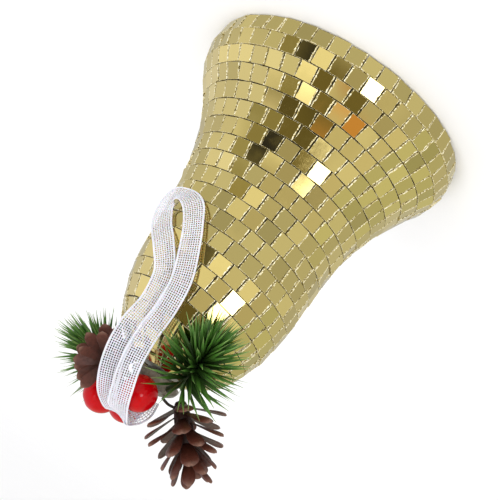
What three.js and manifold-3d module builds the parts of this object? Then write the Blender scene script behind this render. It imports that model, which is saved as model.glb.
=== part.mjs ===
// Christmas bell ornament: a hollow plastic bell covered with rows of square gold mirror tiles,
// with a clapper on a screw eye, and a spray of pine, cones, berries and ribbon on the crown.
// Millimetres, +Z up. The origin is the centre of the mouth, on the plane that the rim stands on.

import * as THREE from 'three';
import { mergeVertices } from 'three/addons/utils/BufferGeometryUtils.js';
import Module from 'manifold-3d';

const wasm = await Module();
wasm.setup();

// ---------------------------------------------------------------- driving dimensions

const GAP = 0.3;                       // clearance between neighbouring pieces
const RIM_RADIUS = 40.4;               // outside of the tiles at the mouth
const WAIST_RADIUS = 24.4;             // outside of the tiles at the waist
const BELL_HEIGHT = 96;                // rim to the top of the dome

const TILE_PITCH = 5.2;                // one row of tiles and its joint
const TILE_HEIGHT = 4.9;
const TILE_THICKNESS = 1.0;
const TILE_ARRIS = 0.22;                // the back of a tile is this much shorter at each edge
const TILE_ROWS = 20;
const ROW_STAGGER = 0.38;              // each row starts this part of a tile further round

const TILE_BACKING = 1.5;              // outside of the tiles to the outside of the shell
const WALL = 2.0;
const SHELL_SEGMENTS = 36;
const SHELL_STEPS = 14;

const EYE_WIRE = 0.7;                  // radius of the screw eye's wire
const EYE_RADIUS = 3.0;                // centre line of its loop
const EYE_Z = 85.0;
const SHANK_RADIUS = 1.0;
const SHANK_TOP_Z = 98.6;
const RING_WIRE = 0.6;
const RING_RADIUS = 3.0;
const CLAPPER_EYE_WIRE = 0.6;
const CLAPPER_EYE_RADIUS = 2.4;
const ROD_RADIUS = 1.0;
const ROD_LENGTH = 69;
const BALL_RADIUS = 7;
const BALL_Z = 14;

const NUT_ACROSS_FLATS = 5.5;
const NUT_HEIGHT = 2.0;
const WASHER_RADIUS = 4.0;
const WASHER_HEIGHT = 0.6;

const BERRY_RADIUS = 5.2;
const BERRY_STEM_RADIUS = 0.5;
const NEEDLE_LENGTH = 14.5;
const NEEDLE_RADIUS = 0.42;
const TWIG_RADIUS = 1.1;

const RIBBON_WIDTH = 6.1;
const RIBBON_THICKNESS = 0.5;
const RIBBON_STEPS = 60;

const GOLDEN_ANGLE = Math.PI * (3 - Math.sqrt(5));

// ---------------------------------------------------------------- materials

const finish = (color, roughness, metalness) =>
  new THREE.MeshStandardMaterial({ color, roughness, metalness });

const GOLD_MIRROR = finish(0xd6c47c, 0.08, 1.0);
const WHITE_PLASTIC = finish(0xd9d6cc, 0.5, 0.0);
const STEEL = finish(0xb8b8b4, 0.3, 1.0);
const BRASS = finish(0xc9a550, 0.3, 1.0);
const HOT_GLUE = finish(0xe6e0d2, 0.35, 0.0);
const PINE_GREEN = finish(0x2f5e1e, 0.5, 0.0);
const CONE_BROWN = finish(0x4a2a20, 0.6, 0.0);
const BERRY_RED = finish(0xc8000a, 0.15, 0.0);
const STEM_RED = finish(0x7a0a10, 0.5, 0.0);
const WHITE_MESH = finish(0xf2f2f4, 0.7, 0.0);

// ---------------------------------------------------------------- helpers

const ornament = new THREE.Group();

function addPiece(name, geometry, material) {
  const mesh = new THREE.Mesh(geometry, material);
  mesh.name = name;
  ornament.add(mesh);
  return mesh;
}

function toSolid(geometry) {
  const bare = geometry.clone();
  bare.deleteAttribute('normal');
  bare.deleteAttribute('uv');
  const merged = mergeVertices(bare, 1e-4);
  const index = merged.index.array;
  const triangles = [];
  for (let i = 0; i < index.length; i += 3) {
    const [a, b, c] = [index[i], index[i + 1], index[i + 2]];
    if (a !== b && b !== c && c !== a) triangles.push(a, b, c);
  }
  const mesh = new wasm.Mesh({
    numProp: 3,
    vertProperties: new Float32Array(merged.attributes.position.array),
    triVerts: new Uint32Array(triangles),
  });
  return new wasm.Manifold(mesh);
}

function toGeometry(solid) {
  const mesh = solid.getMesh();
  const geometry = new THREE.BufferGeometry();
  geometry.setAttribute('position', new THREE.BufferAttribute(new Float32Array(mesh.vertProperties), 3));
  geometry.setIndex(new THREE.BufferAttribute(new Uint32Array(mesh.triVerts), 1));
  geometry.computeVertexNormals();
  return geometry;
}

function join(geometries) {
  let solid = toSolid(geometries[0]);
  for (const geometry of geometries.slice(1)) solid = solid.add(toSolid(geometry));
  return toGeometry(solid);
}

// A profile of [radius, z] points turned about the Z axis.
function turned(profile, segments, start = 0) {
  const points = profile.map(([r, z]) => new THREE.Vector2(r, z));
  return new THREE.LatheGeometry(points, segments, start).rotateX(Math.PI / 2);
}

// A round tube along a smooth curve through the given points.
function tube(points, radius, steps, sides = 8) {
  const curve = new THREE.CatmullRomCurve3(points.map((p) => new THREE.Vector3(...p)));
  const section = new THREE.Shape();
  for (let i = 0; i < sides; i += 1) {
    const angle = (i / sides) * 2 * Math.PI;
    const [x, y] = [radius * Math.cos(angle), radius * Math.sin(angle)];
    if (i === 0) section.moveTo(x, y);
    else section.lineTo(x, y);
  }
  section.closePath();
  return new THREE.ExtrudeGeometry(section, { steps, extrudePath: curve, curveSegments: sides });
}

// Moves a shape whose own axis is +Z so that it starts at a point and runs along a direction.
function aim(geometry, start, direction) {
  const turn = new THREE.Quaternion().setFromUnitVectors(
    new THREE.Vector3(0, 0, 1),
    direction.clone().normalize(),
  );
  return geometry.applyQuaternion(turn).translate(start.x, start.y, start.z);
}

// ---------------------------------------------------------------- the bell's outline

// Outside of the tiles, from the rim to the top of the dome, as [radius, z].
const OUTLINE = new THREE.SplineCurve(
  [
    [RIM_RADIUS, 0],
    [RIM_RADIUS + 0.4, 4.6],
    [39.5, 10.0],
    [36.8, 14.6],
    [33.9, 19.0],
    [29.5, 28.4],
    [26.7, 38.4],
    [24.9, 48.7],
    [WAIST_RADIUS, 59.0],
    [24.0, 66.5],
    [22.6, 74.5],
    [20.2, 82.2],
    [16.8, 88.3],
    [11.8, 92.8],
    [6.0, 95.4],
    [0, BELL_HEIGHT],
  ].map(([r, z]) => new THREE.Vector2(r, z)),
);
const OUTLINE_LENGTH = OUTLINE.getLength();

// The point this far along the outline, moved inwards by an offset.
function outlinePoint(distance, offset) {
  const t = Math.min(Math.max(distance / OUTLINE_LENGTH, 0), 1);
  const point = OUTLINE.getPointAt(t);
  const tangent = OUTLINE.getTangentAt(t);
  return [point.x - offset * tangent.y, point.y + offset * tangent.x];
}

// ---------------------------------------------------------------- shell

function bellShell() {
  const holeRadius = SHANK_RADIUS + GAP;
  const wallLine = (offset) => {
    const line = [[outlinePoint(0, offset)[0], 0]];
    for (let i = 1; i < SHELL_STEPS; i += 1) {
      const [r, z] = outlinePoint((i / SHELL_STEPS) * OUTLINE_LENGTH, offset);
      if (r > holeRadius) line.push([r, z]);
    }
    line.push([holeRadius, outlinePoint(OUTLINE_LENGTH - holeRadius, offset)[1]]);
    return line;
  };
  const outside = wallLine(TILE_BACKING);
  const inside = wallLine(TILE_BACKING + WALL).reverse();
  return turned([...outside, ...inside, outside[0]], SHELL_SEGMENTS);
}

addPiece('bell_shell', bellShell(), WHITE_PLASTIC);

// ---------------------------------------------------------------- rows of mirror tiles

// One row: flat square tiles side by side in a ring, as thick as the glass.
function tileRow(row) {
  const low = GAP + row * TILE_PITCH;
  const high = low + TILE_HEIGHT;
  const [lowRadius, lowZ] = outlinePoint(low, 0);
  const [highRadius, highZ] = outlinePoint(high, 0);
  const across = [highRadius - lowRadius, highZ - lowZ];
  const length = Math.hypot(...across);
  const along = [across[0] / length, across[1] / length];
  const back = (r, z, shift) => [
    r - TILE_THICKNESS * along[1] + shift * along[0],
    z + TILE_THICKNESS * along[0] + shift * along[1],
  ];
  const profile = [
    [lowRadius, lowZ],
    [highRadius, highZ],
    back(highRadius, highZ, -TILE_ARRIS),
    back(lowRadius, lowZ, TILE_ARRIS),
    [lowRadius, lowZ],
  ];
  const tiles = Math.round((Math.PI * (lowRadius + highRadius)) / TILE_PITCH);
  return turned(profile, tiles, (row * ROW_STAGGER * 2 * Math.PI) / tiles);
}

for (let row = 0; row < TILE_ROWS; row += 1) {
  addPiece(`tile_row_${String(row + 1).padStart(2, '0')}`, tileRow(row), GOLD_MIRROR);
}

// ---------------------------------------------------------------- screw eye, washer and nut

const crownTopZ = outlinePoint(OUTLINE_LENGTH - 1, TILE_BACKING)[1];

const eyeLoop = new THREE.TorusGeometry(EYE_RADIUS, EYE_WIRE, 8, 20)
  .rotateX(Math.PI / 2)
  .translate(0, 0, EYE_Z);
const shankLength = SHANK_TOP_Z - EYE_Z - EYE_RADIUS;
const shank = new THREE.CylinderGeometry(SHANK_RADIUS, SHANK_RADIUS, shankLength, 12)
  .rotateX(Math.PI / 2)
  .translate(0, 0, SHANK_TOP_Z - shankLength / 2);
addPiece('crown_eye', join([eyeLoop, shank]), BRASS);

const washerZ = crownTopZ + GAP;
const shankHole = SHANK_RADIUS + GAP;
addPiece(
  'crown_washer',
  turned(
    [
      [WASHER_RADIUS, washerZ],
      [WASHER_RADIUS, washerZ + WASHER_HEIGHT],
      [shankHole, washerZ + WASHER_HEIGHT],
      [shankHole, washerZ],
      [WASHER_RADIUS, washerZ],
    ],
    24,
  ),
  STEEL,
);

const nutZ = washerZ + WASHER_HEIGHT + GAP;
const nutRadius = NUT_ACROSS_FLATS / Math.sqrt(3);
const hexagon = new THREE.CylinderGeometry(nutRadius, nutRadius, NUT_HEIGHT, 6).rotateX(Math.PI / 2);
const nutBore = new THREE.CylinderGeometry(shankHole, shankHole, NUT_HEIGHT * 2, 12).rotateX(Math.PI / 2);
const nut = toGeometry(toSolid(hexagon).subtract(toSolid(nutBore)));
addPiece('crown_nut', nut.translate(0, 0, nutZ + NUT_HEIGHT / 2), STEEL);

// ---------------------------------------------------------------- jump ring and clapper

// Each link's wire rests on the next one's, GAP apart: the pivots are the wire centres.
const ringPivotZ = EYE_Z - EYE_RADIUS;
const ringZ = ringPivotZ + EYE_WIRE + RING_WIRE + GAP - RING_RADIUS;
const clapperPivotZ = ringZ - RING_RADIUS;
const clapperEyeZ = clapperPivotZ + RING_WIRE + CLAPPER_EYE_WIRE + GAP - CLAPPER_EYE_RADIUS;

addPiece(
  'jump_ring',
  new THREE.TorusGeometry(RING_RADIUS, RING_WIRE, 8, 20).rotateY(Math.PI / 2).translate(0, 0, ringZ),
  BRASS,
);

const rodTopZ = clapperEyeZ - CLAPPER_EYE_RADIUS;
const rodBottomZ = rodTopZ - ROD_LENGTH;
const rodHeadRadius = ROD_RADIUS + 1.2;
const rodHead = BALL_Z - BALL_RADIUS - GAP;
const clapperEye = new THREE.TorusGeometry(CLAPPER_EYE_RADIUS, CLAPPER_EYE_WIRE, 8, 18)
  .rotateX(Math.PI / 2)
  .translate(0, 0, clapperEyeZ);
const rod = turned(
  [
    [0, rodBottomZ],
    [rodHeadRadius, rodBottomZ],
    [rodHeadRadius, rodHead],
    [ROD_RADIUS, rodHead],
    [ROD_RADIUS, rodTopZ],
    [0, rodTopZ],
  ],
  12,
);
addPiece('clapper_rod', join([clapperEye, rod]), BRASS);

function clapperBall() {
  const bore = ROD_RADIUS + GAP;
  const bands = 8;
  const start = Math.asin(bore / BALL_RADIUS);
  const profile = [];
  for (let i = 0; i <= bands; i += 1) {
    const angle = start + ((Math.PI - 2 * start) * i) / bands;
    profile.push([BALL_RADIUS * Math.sin(angle), BALL_Z - BALL_RADIUS * Math.cos(angle)]);
  }
  return turned([...profile, profile[0]], 16);
}

addPiece('clapper_ball', clapperBall(), BRASS);

// ---------------------------------------------------------------- glue pad on the crown

const PAD_RADIUS = 7.2;
const PAD_HEIGHT = 4.4;
const padRecess = WASHER_RADIUS + GAP;
const padBottomZ = crownTopZ + 4 * GAP;
const padRecessTopZ = SHANK_TOP_Z + GAP;

// A low dome of set glue, hollow underneath where it covers the washer, nut and shank.
addPiece(
  'glue_pad',
  turned(
    [
      [padRecess, padBottomZ],
      [PAD_RADIUS * 0.72, padBottomZ],
      [PAD_RADIUS, padBottomZ + PAD_HEIGHT * 0.3],
      [PAD_RADIUS * 0.86, padBottomZ + PAD_HEIGHT * 0.7],
      [PAD_RADIUS * 0.5, padBottomZ + PAD_HEIGHT],
      [0, padBottomZ + PAD_HEIGHT * 1.06],
      [0, padRecessTopZ],
      [padRecess, padRecessTopZ],
      [padRecess, padBottomZ],
    ],
    24,
  ),
  HOT_GLUE,
);

// ---------------------------------------------------------------- route of the ribbon

// Centre line from the glue over the berries, down the flank, round the end and back,
// and the direction across the ribbon at each point.
const RIBBON_ROUTE = [
  { at: [-1.6, 0.4, 102.2], across: [1, 0.1, 0] },
  { at: [-1.6, -1.2, 106.4], across: [1, 0.2, 0] },
  { at: [0.4, -1.4, 109.4], across: [0.9, 0.3, -0.3] },
  { at: [2.4, -4.8, 110.8], across: [0.9, -0.3, -0.2] },
  { at: [4.4, -10.8, 110.1], across: [1, -0.1, 0] },
  { at: [5.9, -15.9, 106.4], across: [1, 0.1, 0] },
  { at: [7.6, -17.9, 100.1], across: [1, 0.1, 0] },
  { at: [8.2, -18.8, 91.7], across: [1, 0.15, 0] },
  { at: [7.8, -21.6, 83.7], across: [1, 0.3, 0] },
  { at: [8.6, -23.8, 75.5], across: [1, 0.4, 0.2] },
  { at: [11.2, -23.6, 68.0], across: [1, 0.5, 0.3] },
  { at: [14.2, -22.4, 61.0], across: [0.9, 0.6, 0.4] },
  { at: [17.3, -20.4, 55.7], across: [0.6, 0.1, 0.8] },
  { at: [20.4, -17.4, 53.5], across: [0.2, -0.5, 0.85] },
  { at: [23.3, -13.6, 54.3], across: [-0.5, -0.7, 0.3] },
  { at: [23.6, -11.8, 58.2], across: [-0.7, -0.7, 0.0] },
  { at: [21.7, -14.2, 63.2], across: [-0.8, -0.6, -0.3] },
  { at: [18.1, -18.4, 68.6], across: [-0.9, -0.5, -0.4] },
  { at: [13.9, -20.1, 75.2], across: [-0.9, -0.5, -0.2] },
  { at: [12.6, -17.3, 82.9], across: [-1, -0.5, 0] },
  { at: [13.4, -15.7, 91.5], across: [-1, -0.2, 0] },
  { at: [12.7, -15.4, 99.0], across: [-1, -0.1, 0] },
  { at: [10.7, -12.6, 105.2], across: [-1, 0, 0] },
  { at: [7.9, -7.2, 109.2], across: [-1, 0.1, 0.1] },
  { at: [3.6, -2.1, 110.5], across: [-0.85, 0.4, 0] },
  { at: [1.4, 0.8, 109.0], across: [-0.9, 0.1, 0.3] },
  { at: [0.8, 0.8, 106.2], across: [-1, -0.1, 0] },
  { at: [0.6, 0.8, 102.2], across: [-1, -0.1, 0] },
];

// ---------------------------------------------------------------- berries on stems

const BERRIES = [
  { name: 'front', centre: [1.6, -9.6, 104.1], root: [-1.2, -4.4, 100.6] },
  { name: 'back', centre: [3.0, 10.8, 105.3], root: [0.6, 3.6, 101.1] },
  { name: 'right', centre: [10.0, 2.4, 108.0], root: [4.0, 1.6, 101.0] },
];

for (const { name, centre, root } of BERRIES) {
  const middle = new THREE.Vector3(...centre);
  const foot = new THREE.Vector3(...root);
  const reach = middle.distanceTo(foot) - BERRY_RADIUS - GAP;
  const top = foot.clone().lerp(middle, reach / middle.distanceTo(foot));
  addPiece(`berry_${name}`, new THREE.SphereGeometry(BERRY_RADIUS, 14, 10).translate(...centre), BERRY_RED);
  const half = foot.clone().lerp(top, 0.5);
  addPiece(
    `berry_stem_${name}`,
    tube([foot.toArray(), half.toArray(), top.toArray()], BERRY_STEM_RADIUS, 4),
    STEM_RED,
  );
}

// ---------------------------------------------------------------- pinecones

const CONES = {
  large: {
    base: [-8.6, -0.5, 98.0],
    axis: [-0.667, 0.0, 0.745],
    length: 22.5,
    reach: 13.2,
    scales: 34,
    scaleWidth: 5.2,
    lean: [74, 20],
  },
  small: {
    base: [12.4, -3.2, 99.6],
    axis: [0.16, -0.9, 0.4],
    length: 9,
    reach: 11,
    scales: 22,
    scaleWidth: 4.8,
    lean: [90, 54],
  },
};

// What the scales and needles keep clear of: a line, and how near to it they may come.
const nearLine = (from, to, distance) => ({
  line: new THREE.Line3(new THREE.Vector3(...from), new THREE.Vector3(...to)),
  distance,
});
const obstacles = BERRIES.map(({ centre }) => nearLine(centre, centre, BERRY_RADIUS + 0.4));
for (let i = 1; i < RIBBON_ROUTE.length; i += 1) {
  obstacles.push(nearLine(RIBBON_ROUTE[i - 1].at, RIBBON_ROUTE[i].at, RIBBON_WIDTH / 2 + 0.3));
}

// True where a slender piece, this far across from its middle, would meet an obstacle, the glue or the bell.
function meetsSomething(start, direction, length, half) {
  const nearest = new THREE.Vector3();
  for (let reach = 3; reach <= length; reach += 1) {
    const point = start.clone().addScaledVector(direction, reach);
    for (const { line, distance } of obstacles) {
      line.closestPointToPoint(point, true, nearest);
      if (nearest.distanceTo(point) < distance + half) return true;
    }
    const radius = Math.hypot(point.x, point.y);
    if (radius < PAD_RADIUS + half && point.z < padBottomZ + PAD_HEIGHT * 1.06 + half) return true;
    for (let distance = 70; distance < OUTLINE_LENGTH; distance += 1) {
      const [r, z] = outlinePoint(distance, 0);
      if (Math.hypot(radius - r, point.z - z) < half + 0.4) return true;
      if (Math.abs(point.z - z) < 1 && radius < r) return true;
    }
  }
  return false;
}

// Paddle-shaped scales set round a core on a spiral, spread at the base and closing to the tip.
// A scale that would meet its neighbours is shorter.
function pinecone({ base, axis, length, reach, scales, scaleWidth, lean }) {
  const coreRadius = reach * 0.2;
  const foot = new THREE.Vector3(...base);
  const up = new THREE.Vector3(0, 0, 1);
  const tilt = new THREE.Vector3(1, 0, 0);
  const along = new THREE.Vector3(...axis).normalize();
  const turn = new THREE.Quaternion().setFromUnitVectors(up, along);
  const core = new THREE.SphereGeometry(1, 8, 6)
    .rotateX(Math.PI / 2)
    .scale(coreRadius, coreRadius, length * 0.42)
    .translate(0, 0, length * 0.42);
  const pieces = [core];
  for (let i = 0; i < scales; i += 1) {
    const t = (i + 0.5) / scales;
    const angle = THREE.MathUtils.degToRad(lean[0] + (lean[1] - lean[0]) * t);
    const side = up.clone().applyAxisAngle(tilt, angle).applyAxisAngle(up, i * GOLDEN_ANGLE);
    const start = new THREE.Vector3(0, 0, length * (0.04 + 0.6 * t)).applyQuaternion(turn).add(foot);
    const direction = side.applyQuaternion(turn);
    let scaleLength = reach * (0.9 - 0.08 * t);
    const least = coreRadius * 1.6;
    while (scaleLength > least && meetsSomething(start, direction, scaleLength, 1.5)) scaleLength -= 0.6;
    const paddle = new THREE.SphereGeometry(1, 5, 4)
      .rotateX(Math.PI / 2)
      .scale(scaleWidth / 2, 0.75, scaleLength / 2)
      .translate(0, 0, scaleLength / 2)
      .rotateX(angle)
      .translate(0, 0, length * (0.04 + 0.6 * t))
      .rotateZ(i * GOLDEN_ANGLE);
    pieces.push(paddle);
  }
  return aim(join(pieces), foot, along);
}

for (const [name, cone] of Object.entries(CONES)) {
  addPiece(`pinecone_${name}`, pinecone(cone), CONE_BROWN);
}

const CONE_WIRE_RADIUS = 0.45;
const CONE_WIRES = {
  large: [[-5.4, -0.3, 100.4], [-6.4, -0.4, 100.6], [-7.3, -0.5, 100.2]],
  small: [[5.6, -2.0, 100.2], [7.4, -2.4, 100.8], [9.2, -2.8, 100.6]],
};

for (const [name, route] of Object.entries(CONE_WIRES)) {
  addPiece(`cone_wire_${name}`, tube(route, CONE_WIRE_RADIUS, 5), STEEL);
}

// ---------------------------------------------------------------- pine sprigs

for (const { base, axis, length, reach } of Object.values(CONES)) {
  const along = new THREE.Vector3(...axis).normalize();
  const middle = (share) => new THREE.Vector3(...base).addScaledVector(along, length * share).toArray();
  obstacles.push(nearLine(middle(0.1), middle(0.5), reach * 0.92));
}

// Needles set round the end of a twig on a spiral, splayed between two angles from its axis.
// A needle that would meet its neighbours leans in towards the twig until it is clear.
function pineSprig({ root, bend, tip, needles, splay }) {
  const twig = new THREE.CatmullRomCurve3([root, bend, tip].map((p) => new THREE.Vector3(...p)));
  const pieces = [tube([root, bend, tip], TWIG_RADIUS, 6)];
  for (let i = 0; i < needles; i += 1) {
    const t = (i + 0.5) / needles;
    const start = twig.getPointAt(0.62 + 0.36 * t);
    const along = twig.getTangentAt(0.96);
    const side = new THREE.Vector3(0, 0, 1).cross(along).normalize();
    const leaning = (degrees) =>
      along
        .clone()
        .applyAxisAngle(side, THREE.MathUtils.degToRad(degrees))
        .applyAxisAngle(along, i * GOLDEN_ANGLE);
    let lean = splay[0] + (splay[1] - splay[0]) * t;
    while (lean > 5 && meetsSomething(start, leaning(lean), NEEDLE_LENGTH, 0.4)) lean -= 3;
    const direction = leaning(lean);
    const needle = new THREE.ConeGeometry(NEEDLE_RADIUS, NEEDLE_LENGTH, 3)
      .rotateX(Math.PI / 2)
      .translate(0, 0, NEEDLE_LENGTH / 2);
    pieces.push(aim(needle, start, direction));
  }
  return join(pieces);
}

addPiece(
  'pine_sprig_front',
  pineSprig({
    root: [-4.4, -7.2, 98.6],
    bend: [-6.0, -12.8, 96.0],
    tip: [-6.6, -19.6, 90.6],
    needles: 46,
    splay: [84, 14],
  }),
  PINE_GREEN,
);

addPiece(
  'pine_sprig_side',
  pineSprig({
    root: [6.2, 6.0, 98.8],
    bend: [11.4, 8.0, 98.4],
    tip: [17.4, 9.6, 97.4],
    needles: 46,
    splay: [80, 14],
  }),
  PINE_GREEN,
);

// ---------------------------------------------------------------- hanging loop of ribbon

// A curve whose sections are turned to the ribbon's own face instead of the curve's bend.
class RibbonCurve extends THREE.CatmullRomCurve3 {
  constructor(route) {
    super(route.map(({ at }) => new THREE.Vector3(...at)));
    this.across = new THREE.CatmullRomCurve3(route.map(({ across }) => new THREE.Vector3(...across)));
  }

  computeFrenetFrames(segments) {
    const frames = { tangents: [], normals: [], binormals: [] };
    for (let i = 0; i <= segments; i += 1) {
      const u = i / segments;
      const tangent = this.getTangentAt(u);
      const across = this.across.getPoint(this.getUtoTmapping(u));
      const normal = across.addScaledVector(tangent, -across.dot(tangent)).normalize();
      frames.tangents.push(tangent);
      frames.normals.push(normal);
      frames.binormals.push(tangent.clone().cross(normal));
    }
    return frames;
  }
}

function ribbonSection() {
  const half = RIBBON_WIDTH / 2;
  const thick = RIBBON_THICKNESS / 2;
  const bead = 0.4;
  const section = new THREE.Shape();
  section.moveTo(-half, -thick / 2);
  section.lineTo(-half + bead, -thick);
  section.lineTo(half - bead, -thick);
  section.lineTo(half, -thick / 2);
  section.lineTo(half, thick / 2);
  section.lineTo(half - bead, thick);
  section.lineTo(-half + bead, thick);
  section.lineTo(-half, thick / 2);
  section.closePath();
  return section;
}

addPiece(
  'ribbon_loop',
  new THREE.ExtrudeGeometry(ribbonSection(), {
    steps: RIBBON_STEPS,
    extrudePath: new RibbonCurve(RIBBON_ROUTE),
  }),
  WHITE_MESH,
);

export default ornament;
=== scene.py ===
"""Christmas bell ornament: a mirror-tiled bell with a clapper, pine, cones, berries and a ribbon loop.

Shapes are worked out in millimetres and turned to metres when a piece is made. +Z is up, the bell
stands on its rim at z = 0, and the crown with the greenery is on top.
"""

import math
import random

import bmesh
import bpy
from mathutils import Matrix, Vector, noise


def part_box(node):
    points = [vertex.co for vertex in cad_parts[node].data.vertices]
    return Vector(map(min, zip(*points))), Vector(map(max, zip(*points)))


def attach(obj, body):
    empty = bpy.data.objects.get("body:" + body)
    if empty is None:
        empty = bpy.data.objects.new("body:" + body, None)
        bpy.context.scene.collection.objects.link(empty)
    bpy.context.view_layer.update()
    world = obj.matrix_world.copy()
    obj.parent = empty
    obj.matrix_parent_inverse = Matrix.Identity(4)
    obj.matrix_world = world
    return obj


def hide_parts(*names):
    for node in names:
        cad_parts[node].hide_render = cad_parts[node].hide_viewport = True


bl_info = {
    "name": "Christmas Bell Ornament",
    "version": (1, 0, 0),
    "blender": (4, 5, 0),
    "location": "3D View > Sidebar > Bell",
    "description": "Builds a mirror-tiled bell with its clapper, pine, cones, berries and ribbon loop",
    "category": "Add Mesh",
}

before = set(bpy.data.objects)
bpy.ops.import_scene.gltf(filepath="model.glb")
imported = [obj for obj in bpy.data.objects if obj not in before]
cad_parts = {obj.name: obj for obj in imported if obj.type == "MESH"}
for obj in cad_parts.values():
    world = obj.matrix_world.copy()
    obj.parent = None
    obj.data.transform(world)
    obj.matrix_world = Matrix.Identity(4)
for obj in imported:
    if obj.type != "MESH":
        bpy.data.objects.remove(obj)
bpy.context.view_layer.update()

MM = 0.001
GOLDEN_ANGLE = math.pi * (3 - math.sqrt(5))


def linear(colour):
    """An sRGB hex colour as the linear values that shaders take."""
    values = [int(colour[i:i + 2], 16) / 255 for i in (1, 3, 5)]
    return [v / 12.92 if v <= 0.04045 else ((v + 0.055) / 1.055) ** 2.4 for v in values]


# ---------------------------------------------------------------- settings

class BellTileSettings(bpy.types.PropertyGroup):
    """The gold mirror tiles and how they are laid."""

    width_gap: bpy.props.FloatProperty(
        name="Side joint", description="Gap between neighbours in a row, where it is narrowest",
        default=0.24 * MM, min=0, unit="LENGTH", precision=5)
    row_gap: bpy.props.FloatProperty(
        name="Row joint", description="Gap between one row and the next",
        default=0.26 * MM, min=0, unit="LENGTH", precision=5)
    thickness: bpy.props.FloatProperty(
        name="Thickness", description="Thickness of the mirror glass",
        default=1.0 * MM, min=0, unit="LENGTH", precision=5)
    lean: bpy.props.FloatProperty(
        name="Lean", description="How far hand-laid tiles lean out of true, as a standard deviation",
        default=math.radians(2.4), subtype="ANGLE")
    row_drop: bpy.props.FloatProperty(
        name="Row drop", description="How much lower the rows sit on the right, per height above the rim",
        default=0.042, min=0)
    gold: bpy.props.FloatVectorProperty(
        name="Gold", description="Colour of the gold mirror coating",
        default=linear("#DFCC82"), subtype="COLOR", min=0, max=1)


class BellRibbonSettings(bpy.types.PropertyGroup):
    """The woven mesh ribbon of the hanging loop."""

    width: bpy.props.FloatProperty(
        name="Width", description="Width of the ribbon",
        default=6.1 * MM, min=0, unit="LENGTH", precision=5)
    weft_pitch: bpy.props.FloatProperty(
        name="Weft pitch", description="From one crosswise thread to the next",
        default=0.66 * MM, min=0.1 * MM, unit="LENGTH", precision=5)
    warp_pitch: bpy.props.FloatProperty(
        name="Warp pitch", description="From one lengthwise thread to the next",
        default=0.64 * MM, min=0.1 * MM, unit="LENGTH", precision=5)
    thread: bpy.props.FloatProperty(
        name="Thread width", description="Width of a lengthwise bundle of threads, pressed flat",
        default=0.27 * MM, min=0.05 * MM, unit="LENGTH", precision=5)
    thread_thickness: bpy.props.FloatProperty(
        name="Thread thickness", description="Thickness of a bundle of threads",
        default=0.12 * MM, min=0.02 * MM, unit="LENGTH", precision=5)
    white: bpy.props.FloatVectorProperty(
        name="White", description="Colour of the nylon thread",
        default=linear("#E9E9F1"), subtype="COLOR", min=0, max=1)


class BellSpraySettings(bpy.types.PropertyGroup):
    """The spray of pine, cones and berries on the crown."""

    needles: bpy.props.IntProperty(
        name="Needles", description="Needles on each pine sprig", default=170, min=1)
    needle_length: bpy.props.FloatProperty(
        name="Needle length", description="Length of a pine needle",
        default=14.5 * MM, min=0, unit="LENGTH", precision=5)
    needle_width: bpy.props.FloatProperty(
        name="Needle width", description="Width of a pine needle where it is widest",
        default=1.0 * MM, min=0, unit="LENGTH", precision=5)
    berry_red: bpy.props.FloatVectorProperty(
        name="Berry red", description="Colour of the berries",
        default=linear("#B8000C"), subtype="COLOR", min=0, max=1)
    needle_green: bpy.props.FloatVectorProperty(
        name="Needle green", description="Colour of a needle at half its length",
        default=linear("#2F5019"), subtype="COLOR", min=0, max=1)
    cone_brown: bpy.props.FloatVectorProperty(
        name="Cone brown", description="Colour of a cone's scales",
        default=linear("#5C2F22"), subtype="COLOR", min=0, max=1)


class BellStageSettings(bpy.types.PropertyGroup):
    """The camera, the floor and the light."""

    target: bpy.props.FloatVectorProperty(
        name="Target", description="Point that the camera looks at",
        default=(-2.06 * MM, 0, 50.99 * MM), subtype="TRANSLATION", unit="LENGTH", precision=5)
    distance: bpy.props.FloatProperty(
        name="Distance", description="From the camera to its target",
        default=358.4 * MM, min=0, unit="LENGTH", precision=5)
    elevation: bpy.props.FloatProperty(
        name="Elevation", description="Height of the camera above the horizon",
        default=math.radians(17.99), subtype="ANGLE")
    roll: bpy.props.FloatProperty(
        name="Roll", description="Turn of the camera about its own axis",
        default=math.radians(-146.63), subtype="ANGLE")
    lens: bpy.props.FloatProperty(
        name="Lens", description="Focal length, for a sensor 36 mm wide",
        default=91.06, min=1, unit="CAMERA")
    floor_size: bpy.props.FloatProperty(
        name="Floor size", description="Side of the floor", default=9.0, min=1, unit="LENGTH")
    floor_colour: bpy.props.FloatVectorProperty(
        name="Floor colour", description="Colour of the floor",
        default=linear("#FAFAFA"), subtype="COLOR", min=0, max=1)


# ---------------------------------------------------------------- shapes

class Shape:
    """Points and faces of one piece, in millimetres. Each point carries a value for its material."""

    def __init__(self):
        self.points = []
        self.values = []
        self.faces = []
        self.finishes = []

    def add_points(self, points, value=0.0):
        first = len(self.points)
        self.points.extend(points)
        self.values.extend(value if isinstance(value, list) else [value] * len(points))
        return list(range(first, len(self.points)))

    def add_face(self, corners, finish=0):
        self.faces.append(corners)
        self.finishes.append(finish)

    def bridge(self, lower, upper, finish=0):
        """Quads between two closed rings of point numbers."""
        count = len(lower)
        for i in range(count):
            j = (i + 1) % count
            self.add_face([lower[i], lower[j], upper[j], upper[i]], finish)

    def add_rings(self, rings, value=0.0, looped=False):
        """A skin over closed rings of points, with flat ends unless the rings come back to the first.

        value is one number, or one for each ring.
        """
        values = value if isinstance(value, list) else [value] * len(rings)
        numbers = [self.add_points(ring, v) for ring, v in zip(rings, values)]
        for lower, upper in zip(numbers, numbers[1:]):
            self.bridge(lower, upper)
        if looped:
            self.bridge(numbers[-1], numbers[0])
        else:
            self.add_face(list(reversed(numbers[0])))
            self.add_face(numbers[-1])


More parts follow.
